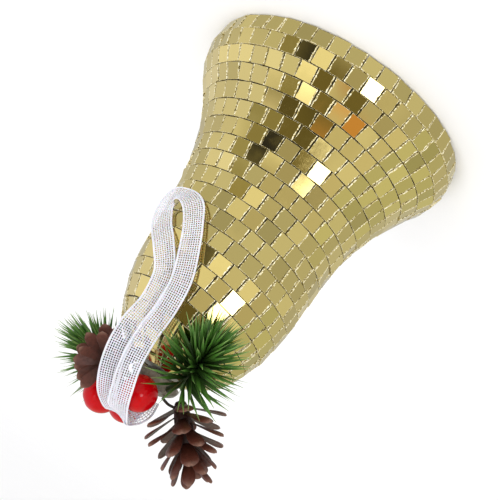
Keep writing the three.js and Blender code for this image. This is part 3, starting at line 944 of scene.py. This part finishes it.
def smooth_step(low, high, value):
    share = min(max((value - low) / (high - low), 0.0), 1.0)
    return share * share * (3 - 2 * share)


def snapped_outline(rng, low_width, high_width, height):
    """A tile's outline: scored straight along the rows, snapped and ragged at the sides."""
    points = []
    side_steps = 6
    for i in range(side_steps + 1):
        t = i / side_steps
        half = (low_width + (high_width - low_width) * t) / 2
        ragged = rng.uniform(-0.13, 0.03) if 0 < i < side_steps else -0.03
        points.append((half + ragged, (t - 0.5) * height))
    for i in range(side_steps + 1):
        t = 1 - i / side_steps
        half = (low_width + (high_width - low_width) * t) / 2
        ragged = rng.uniform(-0.13, 0.03) if 0 < i < side_steps else -0.03
        points.append((-half - ragged, (t - 0.5) * height))
    return points


def add_tile(shape, rng, centre, across, up, sizes, thickness):
    """One flat mirror tile: its face, the broken arris round it, its sides and its back."""
    normal = across.cross(up)
    outline = snapped_outline(rng, *sizes)

    def ring(depth, inset):
        points = []
        for (x, y), chip in zip(outline, inset):
            shrink = max(1 - chip / max(abs(x), 0.5), 0.5)
            squeeze = max(1 - 0.05 / max(abs(y), 0.5), 0.9) if chip else 1.0
            points.append(centre + across * x * shrink + up * y * squeeze - normal * depth)
        return points

    tone = rng.random()
    chips = []
    for _ in range(2):
        usual = rng.choice(CHIP_SIZES)
        chips += [max(rng.gauss(usual, 0.08), 0.04) for _ in range(len(outline) // 2)]
    face = shape.add_points(ring(0.0, chips), tone)
    edge = shape.add_points(ring(TILE_ARRIS, [0.0] * len(outline)), tone)
    back = shape.add_points(ring(thickness, [0.12] * len(outline)), tone)
    shape.add_face(face, 0)
    shape.bridge(edge, face, 1)
    shape.bridge(back, edge, 1)
    shape.add_face(list(reversed(back)), 1)


class BELL_OT_tiles(bpy.types.Operator):
    """Lays the rows of gold mirror tiles, each tile a flat piece of its own"""

    bl_idname = "bell.tiles"
    bl_label = "Mirror tiles"

    def execute(self, context):
        settings = context.scene.bell_tiles
        materials = [gold_mirror(list(settings.gold)), cut_mirror_edge()]
        rng = random.Random(24)
        for index, row in enumerate(OUTLINE.rows):
            shape = Shape()
            for k in range(row["tiles"]):
                angle = row["start"] + 2 * math.pi * (k + 0.5) / row["tiles"]
                self.lay_tile(shape, rng, settings, index, row["tiles"], angle)
            make_piece(
                "mirror_" + row["name"], shape, materials, replaces=[row["name"]],
                sharp=4)
        return {"FINISHED"}

    def row_shift(self, settings, distance, angle):
        """Rows sit lower on the +X side, and come level again under the greenery."""
        height = OUTLINE.at(distance)[1]
        level = 1 - smooth_step(78, 92, height)
        return -settings.row_drop * height * math.cos(angle) * level

    def row_point(self, settings, index, angle):
        """Middle of a row at this angle."""
        middle = (index + 0.5) * PITCH
        r, z = OUTLINE.at(middle + self.row_shift(settings, middle, angle))
        return Vector((r * math.cos(angle), r * math.sin(angle), z))

    def lay_tile(self, shape, rng, settings, index, tiles, angle):
        low = index * PITCH
        high = low + PITCH
        low += self.row_shift(settings, low, angle)
        high += self.row_shift(settings, high, angle)
        gap = settings.row_gap / MM
        height = min(PITCH * 1.2, high - low) - gap
        middle = (low + high) / 2
        r0, z0 = OUTLINE.at(middle - height / 2)
        r1, z1 = OUTLINE.at(middle + height / 2)
        out = Vector((math.cos(angle), math.sin(angle), 0))
        flat = math.cos(math.pi / tiles)
        foot = out * r0 * flat + Vector((0, 0, z0))
        head = out * r1 * flat + Vector((0, 0, z1))
        up = (head - foot).normalized()
        ahead = self.row_point(settings, index, angle + math.pi / tiles)
        behind = self.row_point(settings, index, angle - math.pi / tiles)
        across = (ahead - behind).normalized()
        normal = across.cross(up).normalized()
        up = normal.cross(across)
        careless = CARELESS_LEAN if rng.random() < CARELESS_SHARE else 1.0
        turn = Matrix.Rotation(rng.gauss(0, settings.lean * careless), 3, across) @ \
            Matrix.Rotation(rng.gauss(0, settings.lean * careless), 3, up) @ \
            Matrix.Rotation(rng.gauss(0, settings.lean * 0.6), 3, normal)
        centre = (foot + head) / 2 + normal * rng.uniform(-0.08, 0.03)
        room = [2 * r * math.sin(math.pi / tiles) - settings.width_gap / MM for r in (r0, r1)]
        narrow = min(room)
        widths = [narrow + 0.4 * (w - narrow) for w in room]
        add_tile(
            shape, rng, centre, turn @ across, turn @ up, (*widths, (head - foot).length),
            settings.thickness / MM)


class BELL_OT_shell(bpy.types.Operator):
    """Makes the moulded shell and the adhesive between it and the tiles"""

    bl_idname = "bell.shell"
    bl_label = "Shell and adhesive"

    def execute(self, context):
        thickness = context.scene.bell_tiles.thickness / MM
        crown_z = box_mm("bell_shell")[1].z
        length = OUTLINE.distances[-1]
        steps = [length * i / 60 for i in range(61)]
        rim_round = 0.35
        outside = [OUTLINE.behind(s, BACKING) for s in steps]
        outside = [p for p in outside if rim_round < p[1] < crown_z and p[0] > HOLE_RADIUS + LIP]
        inside = [OUTLINE.behind(s, BACKING + WALL) for s in steps]
        inside = [p for p in inside if rim_round < p[1] and p[0] > HOLE_RADIUS + LIP]
        rim_out = outside[0][0]
        rim_in = inside[0][0]
        rim = [(rim_in, rim_round), (rim_in + rim_round, 0), (rim_out - rim_round, 0), (rim_out, rim_round)]
        crown = [(HOLE_RADIUS, crown_z), (HOLE_RADIUS, crown_z - WALL)]
        shape = Shape()
        shape.add_rings(turned_rings(rim + outside + crown + inside[::-1], 96), looped=True)
        make_piece("bell_body", shape, [moulded_shell()], replaces=["bell_shell"])
        shape = Shape()
        front = [OUTLINE.behind(s, thickness + 0.02) for s in steps]
        back = [OUTLINE.behind(s, BACKING - 0.03) for s in steps]
        front = [p for p in front if p[0] > WASHER_ROOM and p[1] > 0.4]
        back = [p for p in back if p[0] > WASHER_ROOM and p[1] > 0.4]
        shape.add_rings(turned_rings(front + back[::-1], 96), looped=True)
        make_piece("tile_adhesive", shape, [dark_adhesive()])
        return {"FINISHED"}


# ---------------------------------------------------------------- hanger, jump ring and clapper

EYE_WIRE = 0.7
SHANK_RADIUS = 1.0
THREAD_DEPTH = 0.22
THREAD_PITCH = 0.7
RING_WIRE = 0.6


def arc_line(centre, radius, start, end, steps, flat_axis):
    """Points on an arc in the plane that holds Z and the flat axis. Angles are in degrees from that axis."""
    line = []
    for i in range(steps + 1):
        a = math.radians(start + (end - start) * i / steps)
        line.append(centre + radius * (math.cos(a) * flat_axis + math.sin(a) * Vector((0, 0, 1))))
    return line


def threaded_rings(radius, depth, pitch, low, high, around=24):
    """Rings of a rod with a screw thread."""
    rings = []
    steps = round((high - low) / pitch * 8)
    for i in range(steps + 1):
        z = low + (high - low) * i / steps
        fade = smooth_step(low, low + pitch, z) * (1 - smooth_step(high - pitch, high, z))
        ring = []
        for k in range(around):
            share = (z / pitch - k / around) % 1.0
            groove = 0.5 + 0.5 * math.cos(2 * math.pi * share)
            r = radius - depth * groove * fade
            a = 2 * math.pi * k / around
            ring.append(Vector((r * math.cos(a), r * math.sin(a), z)))
        rings.append(ring)
    return rings


class BELL_OT_hanger(bpy.types.Operator):
    """Makes the screw eye in the crown with its washer and nut"""

    bl_idname = "bell.hanger"
    bl_label = "Screw eye, washer and nut"

    def execute(self, context):
        brass = bright_brass()
        steel = zinc_steel()
        low, high = box_mm("crown_eye")
        wire = min((high.y - low.y) / 2, EYE_WIRE)
        loop_radius = (high.x - low.x) / 2 - wire
        centre = Vector((0, 0, low.z + wire + loop_radius))
        shape = Shape()
        loop = arc_line(centre, loop_radius, 62, -258, 72, Vector((1, 0, 0)))
        top = centre.z + loop_radius
        neck = [Vector((-0.3, 0, top + 0.25)), Vector((0, 0, top + 1.0))]
        shape.add_rings(tube_rings(loop + neck, wire, 14))
        shape.add_rings(threaded_rings(SHANK_RADIUS, THREAD_DEPTH, THREAD_PITCH, top + 0.5, high.z))
        make_piece("screw_eye", shape, [brass], replaces=["crown_eye"])
        self.add_washer(steel)
        self.add_nut(steel)
        return {"FINISHED"}

    def add_washer(self, steel):
        low, high = box_mm("crown_washer")
        outer, inner, soft = high.x, HOLE_RADIUS, 0.12
        profile = [
            (inner, low.z + soft), (inner + soft, low.z), (outer - soft, low.z), (outer, low.z + soft),
            (outer, high.z - soft), (outer - soft, high.z), (inner + soft, high.z), (inner, high.z - soft)]
        shape = Shape()
        shape.add_rings(turned_rings(profile, 64), looped=True)
        make_piece("washer", shape, [steel], replaces=["crown_washer"])

    def add_nut(self, steel):
        low, high = box_mm("crown_nut")
        flat = min(high.x, high.y)
        bore, chamfer, soft = HOLE_RADIUS, 0.35, 0.2
        rings = []
        around = 48
        for k in range(around):
            a = 2 * math.pi * k / around
            corner = flat / math.cos((a % (math.pi / 3)) - math.pi / 6)
            rounded = min(corner, flat * 1.03)
            out = Vector((math.cos(a), math.sin(a), 0))
            profile = [
                (bore, low.z + soft), (bore + soft, low.z), (rounded - 0.1, low.z), (corner, low.z + chamfer),
                (corner, high.z - chamfer), (rounded - 0.1, high.z), (bore + soft, high.z),
                (bore, high.z - soft)]
            rings.append([out * r + Vector((0, 0, z)) for r, z in profile])
        shape = Shape()
        shape.add_rings(rings, looped=True)
        make_piece("nut", shape, [steel], replaces=["crown_nut"], sharp=25)


class BELL_OT_clapper(bpy.types.Operator):
    """Makes the split jump ring and the clapper that swings on it"""

    bl_idname = "bell.clapper"
    bl_label = "Jump ring and clapper"

    def execute(self, context):
        brass = bright_brass()
        low, high = box_mm("jump_ring")
        wire = min((high.x - low.x) / 2, RING_WIRE)
        radius = (high.z - low.z) / 2 - wire
        centre = Vector((0, 0, (low.z + high.z) / 2))
        shape = Shape()
        shape.add_rings(tube_rings(arc_line(centre, radius, 4, 356, 72, Vector((0, 1, 0))), wire, 14))
        make_piece("split_ring", shape, [brass], body="jump_ring", replaces=["jump_ring"])
        self.add_rod(brass)
        self.add_ball(brass)
        return {"FINISHED"}

    def add_rod(self, brass):
        low, high = box_mm("clapper_rod")
        wire, eye_radius = 0.6, 2.4
        rod_radius, head_radius, head_height = 1.0, 2.2, 1.4
        eye = Vector((0, 0, high.z - wire - eye_radius))
        shape = Shape()
        loop = arc_line(eye, eye_radius, -78, 262, 64, Vector((1, 0, 0)))
        shape.add_rings(tube_rings(loop, wire, 12))
        top = eye.z - eye_radius
        profile = [
            (0.05, low.z), (head_radius * 0.7, low.z + 0.05), (head_radius, low.z + 0.45),
            (head_radius, low.z + head_height - 0.2), (head_radius - 0.2, low.z + head_height),
            (rod_radius, low.z + head_height), (rod_radius, top - 6.0), (rod_radius * 0.82, top - 5.0),
            (rod_radius * 0.82, top - 1.5), (rod_radius, top - 0.8), (0.7, top + 0.3), (0.05, top + 0.5)]
        shape.add_rings(turned_rings(profile, 28), looped=True)
        # The eye's wire wraps the neck of the rod three and a half times.
        turns, steps = 3.5, 90
        coil = []
        for i in range(steps + 1):
            a = 2 * math.pi * turns * i / steps
            r = rod_radius * 0.82 + 0.35
            coil.append(Vector((r * math.cos(a), r * math.sin(a), top - 4.7 + 3.0 * i / steps)))
        shape.add_rings(tube_rings(coil, rounded_ends(0.36, 0.03), 8))
        make_piece(
            "clapper_stem", shape, [brass], body="clapper", replaces=["clapper_rod"])

    def add_ball(self, brass):
        low, high = box_mm("clapper_ball")
        radius = (high.x - low.x) / 2
        centre = (low.z + high.z) / 2
        bore = 1.2
        start = math.asin(bore / radius)
        profile = []
        steps = 48
        for i in range(steps + 1):
            angle = start + (math.pi - 2 * start) * i / steps
            seam = 0.16 * math.exp(-((angle - math.pi / 2) / 0.035) ** 2)
            profile.append(((radius - seam) * math.sin(angle), centre - (radius - seam) * math.cos(angle)))
        shape = Shape()
        shape.add_rings(turned_rings(profile, 64), looped=True)
        make_piece("clapper_bead", shape, [brass], body="clapper", replaces=["clapper_ball"])


# ---------------------------------------------------------------- spray on the crown

class BELL_OT_glue(bpy.types.Operator):
    """Makes the set pad of hot-melt glue under the spray"""

    bl_idname = "bell.glue"
    bl_label = "Glue pad"

    def execute(self, context):
        low, high = box_mm("glue_pad")
        height = high.z - low.z
        radius = high.x
        recess, recess_top = 4.3, 98.9
        profile = [(recess, low.z), (radius * 0.72, low.z)]
        rises = 14
        for i in range(rises + 1):
            a = math.pi / 2 * i / rises
            profile.append((radius * math.cos(a) ** 0.8 + 0.05, low.z + height * (0.18 + 0.8 * math.sin(a))))
        profile += [(0.05, recess_top), (recess * 0.8, recess_top), (recess, recess_top - 0.4)]

        def lumpy(point):
            out = point.xy.length
            if out < recess + 0.2 and point.z < recess_top + 0.1:
                return point
            swell = noise.noise(point * 0.32) * 0.9 + noise.noise(point * 0.9) * 0.25
            share = min(out / radius, 1.0)
            height = Vector((0, 0, point.z + 0.3 * swell * share))
            return point * Vector((1, 1, 0)) * (1 + 0.07 * swell) + height

        def mixed(point):
            moved = lumpy(point)
            return Vector((moved.x, moved.y, max(moved.z, low.z)))

        shape = Shape()
        shape.add_rings(turned_rings(profile, 72, mixed), looped=True)
        make_piece("glue_mound", shape, [hot_melt_glue()], replaces=["glue_pad"], sharp=60)
        return {"FINISHED"}


# ---------------------------------------------------------------- room for the spray

BERRY_ROOM = 0.4          # clear of a berry's skin
RIBBON_ROOM = 3.4         # clear of the ribbon's centre line
SHOULDER_Z = 97           # below this a piece is beside the bell and not over it
BELL_ROOM = 0.4


def room_takers():
    """What scales and needles keep clear of: berries and ribbon, each a line and a distance."""
    lines = []
    for name in ("front", "back", "right"):
        low, high = box_mm("berry_" + name)
        centre = (low + high) / 2
        lines.append((centre, centre, (high.z - low.z) / 2 + BERRY_ROOM))
    for (start, _), (end, _) in zip(RIBBON_ROUTE, RIBBON_ROUTE[1:]):
        lines.append((Vector(start), Vector(end), RIBBON_ROOM))
    return lines


def distance_to_line(point, start, end):
    span = end - start
    share = 0.0
    if span.length > 1e-6:
        share = min(max((point - start).dot(span) / span.length_squared, 0.0), 1.0)
    return (point - start - span * share).length


def meets_something(lines, start, direction, length, half):
    """True where a slender piece, this far across, would meet a line, the glue or the bell."""
    pad = box_mm("glue_pad")[1]
    for step in range(3, int(length) + 2):
        point = start + direction * min(step, length)
        if any(distance_to_line(point, low, high) < distance + half for low, high, distance in lines):
            return True
        if point.z < pad.z + half and point.xy.length < pad.x + half:
            return True
        beside = OUTLINE.radius_at_height(point.z) + half + BELL_ROOM
        if point.z < SHOULDER_Z and point.xy.length < beside:
            return True
    return False


# ---------------------------------------------------------------- berries, cones and sprigs

class BELL_OT_berries(bpy.types.Operator):
    """Makes the red berries on their wire stems"""

    bl_idname = "bell.berries"
    bl_label = "Berries"

    def execute(self, context):
        red = lacquered_berry(list(context.scene.bell_spray.berry_red))
        paper = wrapped_stem()
        for name in ("front", "back", "right"):
            low, high = box_mm("berry_" + name)
            centre = (low + high) / 2
            stem = sorted(node_points("berry_stem_" + name), key=lambda p: (p - centre).length)
            foot = sum(stem[-8:], Vector()) / 8
            self.add_berry(name, centre, (high.z - low.z) / 2, foot, red)
            self.add_stem(name, centre, (high.z - low.z) / 2, foot, paper)
        return {"FINISHED"}

    def add_berry(self, name, centre, radius, foot, red):
        """A ball, slightly flattened, with a dimple round its stem and a blossom pip opposite."""
        axis = (foot - centre).normalized()
        turn = Vector((0, 0, 1)).rotation_difference(axis)
        rings = []
        values = []
        steps, around = 36, 48
        for i in range(steps + 1):
            angle = 0.02 + (math.pi - 0.04) * i / steps
            stem_dimple = 0.16 * math.exp(-(angle / 0.26) ** 2)
            pip = 0.05 * math.exp(-((math.pi - angle) / 0.13) ** 2)
            r = radius * (1 - stem_dimple - pip)
            ring = []
            for k in range(around):
                a = 2 * math.pi * k / around
                point = Vector((
                    math.sin(angle) * math.cos(a), math.sin(angle) * math.sin(a), math.cos(angle)))
                swell = 1 + 0.012 * noise.noise(point * 1.6 + centre)
                ring.append(centre + turn @ (point * r * swell))
            rings.append(ring)
            # The dimple round the stem gets painted shade; the pip's value gives its own dark colour.
            painted_dimple_shade = 0.55 * math.exp(-(angle / 0.3) ** 2)
            pip_shade = math.exp(-((math.pi - angle) / 0.1) ** 2)
            values.append(max(painted_dimple_shade, pip_shade))
        shape = Shape()
        shape.add_rings(rings, values)
        make_piece(
            "red_berry_" + name, shape, [red], replaces=["berry_" + name], sharp=80)

    def add_stem(self, name, centre, radius, foot, paper):
        top = foot.lerp(centre, 1 - radius * 0.9 / (centre - foot).length)
        bow = (top - foot).orthogonal().normalized() * 0.25
        line = [along_curve([foot, foot.lerp(top, 0.5) + bow, top], i / 16) for i in range(17)]
        shape = Shape()
        shape.add_rings(tube_rings(line, lambda t: 0.5 + 0.05 * math.sin(40 * t), 10))
        make_piece(
            "berry_wire_" + name, shape, [paper], replaces=["berry_stem_" + name])


# Each cone's foot, direction and length, the reach of its lowest scales, how many and how wide
# its scales are, how many degrees they lean out from its axis, from the lowest to the last, and
# the seed of their small differences.
CONES = {
    "large": {"base": (-8.6, -0.5, 98.0), "axis": (-0.667, 0.0, 0.745), "length": 22.5, "reach": 13.2,
              "scales": 32, "width": 5.2, "lean": (82, 28), "seed": 5},
    "small": {"base": (12.4, -3.2, 99.6), "axis": (0.16, -0.9, 0.4), "length": 9.0, "reach": 11.0,
              "scales": 21, "width": 4.1, "lean": (100, 56), "seed": 8},
}


def add_scale(shape, rng, place, length, width):
    """One woody scale: a narrow root that widens to a rounded, thickened and cupped paddle."""
    along, over = 10, 6
    cup = rng.uniform(0.06, 0.14)
    curl = rng.uniform(0.0, 0.12)
    skew = rng.uniform(-0.12, 0.12)
    upper, lower, values = [], [], []
    for i in range(along + 1):
        u = i / along
        neck = 0.34 + 0.66 * smooth_step(0.0, 0.8, u)
        tip = math.sqrt(max(1 - max((u - 0.7) / 0.3, 0.0) ** 2.4, 0.0))
        half = width / 2 * neck * max(tip, 0.1)
        thick = 0.28 + 0.5 * smooth_step(0.4, 0.95, u) * max(tip, 0.3)
        top_row, under_row = [], []
        for j in range(over + 1):
            v = -1 + 2 * j / over
            rim = math.sqrt(max(1 - v ** 2 * 0.94, 0.0))
            x = half * v + skew * width * u * u
            lift = cup * width * (v * v) * u + curl * length * u ** 2.2
            ridge = 0.28 * math.exp(-(v / 0.25) ** 2) * smooth_step(0.5, 0.9, u)
            z = u * length - curl * 0.4 * length * u ** 3
            top_row.append(place @ Vector((x, lift + thick * rim * 0.5, z)))
            under_row.append(place @ Vector((x, lift - (thick * rim * 0.5 + ridge), z)))
        upper.append(top_row)
        lower.append(under_row)
        values.append(u)
    rings = [top + under[::-1] for top, under in zip(upper, lower)]
    shape.add_rings(rings, values)


class BELL_OT_cones(bpy.types.Operator):
    """Makes the two pine cones and the wires that hold them"""

    bl_idname = "bell.cones"
    bl_label = "Pine cones"

    def execute(self, context):
        woody = dried_cone(list(context.scene.bell_spray.cone_brown))
        iron = annealed_wire()
        for name, cone in CONES.items():
            self.add_cone(name, cone, woody)
            self.add_wire(name, iron)
        return {"FINISHED"}

    def add_cone(self, name, cone, woody):
        rng = random.Random(cone["seed"])
        axis = Vector(cone["axis"]).normalized()
        stand = Matrix.Translation(Vector(cone["base"])) @ \
            Vector((0, 0, 1)).rotation_difference(axis).to_matrix().to_4x4()
        shape = Shape()
        core_radius = cone["reach"] * 0.2
        core_height = cone["length"] * 0.8
        core = []
        for i in range(13):
            z = core_height * i / 12
            r = core_radius * math.sin(math.pi * (0.12 + 0.86 * i / 12)) ** 0.6
            core.append([stand @ Vector((r * math.cos(a), r * math.sin(a), z))
                         for a in (2 * math.pi * k / 16 for k in range(16))])
        # The hidden core takes the dark end of the scales' colour: painted shade.
        shape.add_rings(core, 0.05)
        lines = room_takers()
        first, last = cone["lean"]
        for i in range(cone["scales"]):
            t = (i + 0.5) / cone["scales"]
            lean = math.radians(first + (last - first) * t + rng.uniform(-4, 4))
            length = cone["reach"] * (1.02 - 0.14 * t) * rng.uniform(0.94, 1.03)
            width = cone["width"] * (1.0 - 0.22 * smooth_step(0.6, 1.0, t)) * rng.uniform(0.92, 1.06)
            place = stand @ Matrix.Rotation(i * GOLDEN_ANGLE + rng.uniform(-0.08, 0.08), 4, "Z") @ \
                Matrix.Translation((0, 0, cone["length"] * (0.04 + 0.6 * t))) @ \
                Matrix.Rotation(lean, 4, "X")
            foot = place.translation
            direction = (place.to_3x3() @ Vector((0, 0, 1))).normalized()
            while length > core_radius * 1.6 and meets_something(lines, foot, direction, length, 1.0):
                length -= 0.6
            add_scale(shape, rng, place, length, min(width, length * 0.62))
        make_piece(
            "pine_cone_" + name, shape, [woody], replaces=["pinecone_" + name],
            sharp=180, smooth_levels=1)

    def add_wire(self, name, iron):
        node = "cone_wire_" + name
        points = sorted(node_points(node), key=lambda p: abs(p.x))
        start = sum(points[:8], Vector()) / 8
        end = sum(points[-8:], Vector()) / 8
        # Its ends are buried in the glue and in the cone.
        reach = end - start
        start -= reach * 0.5 + Vector((0, 0, 0.8))
        end += reach * 0.6
        middle = (start + end) / 2 + Vector((0, 0, 0.4))
        line = [along_curve([start, middle, end], i / 12) for i in range(13)]
        shape = Shape()
        shape.add_rings(tube_rings(line, 0.4, 12))
        make_piece("holding_wire_" + name, shape, [iron], replaces=[node])


# Each sprig's twig, the degrees from it that its first and last needles stand at, and the seed
# of their small differences.
SPRIGS = {
    "front": {"twig": [(-4.4, -7.2, 98.6), (-6.4, -13.6, 95.6), (-7.4, -21.6, 88.8)], "splay": (96, 8),
              "seed": 3},
    "side": {"twig": [(6.2, 6.0, 98.8), (11.4, 8.0, 98.4), (17.4, 9.6, 97.4)], "splay": (84, 8),
             "seed": 9},
}


def add_needle(shape, rng, start, direction, length, width):
    """One needle: flattened, keeled along the middle, tapering to a fine point and bowed a little."""
    side = direction.orthogonal().normalized()
    side = Matrix.Rotation(rng.uniform(0, 2 * math.pi), 3, direction) @ side
    lift = direction.cross(side)
    bow = rng.uniform(-0.1, 0.1)
    sway = rng.uniform(-0.06, 0.06)
    rings, values = [], []
    steps = 7
    for i in range(steps + 1):
        u = i / steps
        half = width / 2 * (0.55 + 0.45 * smooth_step(0, 0.2, u)) * (1 - smooth_step(0.45, 1.02, u)) + 0.03
        middle = start + direction * length * u + (lift * bow + side * sway) * length * u * u
        rings.append([
            middle + side * half, middle + lift * half * 0.55 + side * half * 0.2,
            middle + lift * half * 0.55 - side * half * 0.2, middle - side * half,
            middle - lift * half * 0.3])
        values.append(u)
    shape.add_rings(rings, values)


class BELL_OT_sprigs(bpy.types.Operator):
    """Makes the two pine sprigs with their needles"""

    bl_idname = "bell.sprigs"
    bl_label = "Pine sprigs"

    def execute(self, context):
        settings = context.scene.bell_spray
        green = moulded_needles(list(settings.needle_green))
        lines = room_takers()
        for cone in CONES.values():
            base, along = Vector(cone["base"]), Vector(cone["axis"]).normalized() * cone["length"]
            lines.append((base + along * 0.1, base + along * 0.5, cone["reach"] * 0.92))
        for name, sprig in SPRIGS.items():
            rng = random.Random(sprig["seed"])
            twig = [Vector(p) for p in sprig["twig"]]
            shape = Shape()
            line = [along_curve(twig, i / 20) for i in range(21)]
            # The twig is coloured from near the needles' darkened root end, painted shade included.
            shape.add_rings(tube_rings(line, lambda t: 1.0 - 0.5 * t + 0.08 * math.sin(60 * t), 10), 0.1)
            tangent = (along_curve(twig, 0.98) - along_curve(twig, 0.9)).normalized()
            side = Vector((0, 0, 1)).cross(tangent).normalized()
            for i in range(settings.needles):
                self.add_one(shape, rng, settings, sprig, twig, tangent, side, lines, i)
            make_piece(
                "pine_needles_" + name, shape, [green],
                replaces=["pine_sprig_" + name], sharp=50)
        return {"FINISHED"}

    def add_one(self, shape, rng, settings, sprig, twig, tangent, side, lines, i):
        t = (i + 0.5) / settings.needles
        start = along_curve(twig, 0.35 + 0.63 * t ** 0.45)
        length = settings.needle_length / MM * rng.uniform(0.86, 1.06)
        first, last = sprig["splay"]
        lean = first + (last - first) * t ** 1.15 + rng.uniform(-7, 7)
        around = i * GOLDEN_ANGLE + rng.uniform(-0.15, 0.15)

        def leaning(degrees):
            tipped = Matrix.Rotation(math.radians(degrees), 3, side) @ tangent
            return Matrix.Rotation(around, 3, tangent) @ tipped

        while lean > 5 and meets_something(lines, start, leaning(lean), length, 0.4):
            lean -= 2.5
        add_needle(shape, rng, start, leaning(lean), length, settings.needle_width / MM)


# ---------------------------------------------------------------- panel and registration

OPERATORS = (
    BELL_OT_stage,
    BELL_OT_ribbon,
    BELL_OT_tiles,
    BELL_OT_shell,
    BELL_OT_hanger,
    BELL_OT_clapper,
    BELL_OT_glue,
    BELL_OT_berries,
    BELL_OT_cones,
    BELL_OT_sprigs,
)

SETTINGS = {
    "bell_stage": BellStageSettings,
    "bell_ribbon": BellRibbonSettings,
    "bell_tiles": BellTileSettings,
    "bell_spray": BellSpraySettings,
}


class BELL_PT_build(bpy.types.Panel):
    """Lists the settings and the operators that build the ornament"""

    bl_idname = "BELL_PT_build"
    bl_label = "Christmas Bell"
    bl_space_type = "VIEW_3D"
    bl_region_type = "UI"
    bl_category = "Bell"

    def draw(self, context):
        for operator in OPERATORS:
            self.layout.operator(operator.bl_idname)
        for name, group in SETTINGS.items():
            box = self.layout.box()
            for prop in group.__annotations__:
                box.prop(getattr(context.scene, name), prop)


def register():
    for group in SETTINGS.values():
        bpy.utils.register_class(group)
    for name, group in SETTINGS.items():
        setattr(bpy.types.Scene, name, bpy.props.PointerProperty(type=group))
    for operator in OPERATORS:
        bpy.utils.register_class(operator)
    bpy.utils.register_class(BELL_PT_build)


def unregister():
    bpy.utils.unregister_class(BELL_PT_build)
    for operator in reversed(OPERATORS):
        bpy.utils.unregister_class(operator)
    for name, group in reversed(list(SETTINGS.items())):
        delattr(bpy.types.Scene, name)
        bpy.utils.unregister_class(group)


def main():
    register()
    for build in (
        bpy.ops.bell.stage,
        bpy.ops.bell.ribbon,
        bpy.ops.bell.tiles,
        bpy.ops.bell.shell,
        bpy.ops.bell.hanger,
        bpy.ops.bell.clapper,
        bpy.ops.bell.glue,
        bpy.ops.bell.berries,
        bpy.ops.bell.cones,
        bpy.ops.bell.sprigs,
    ):
        build()


if __name__ == "__main__":
    main()
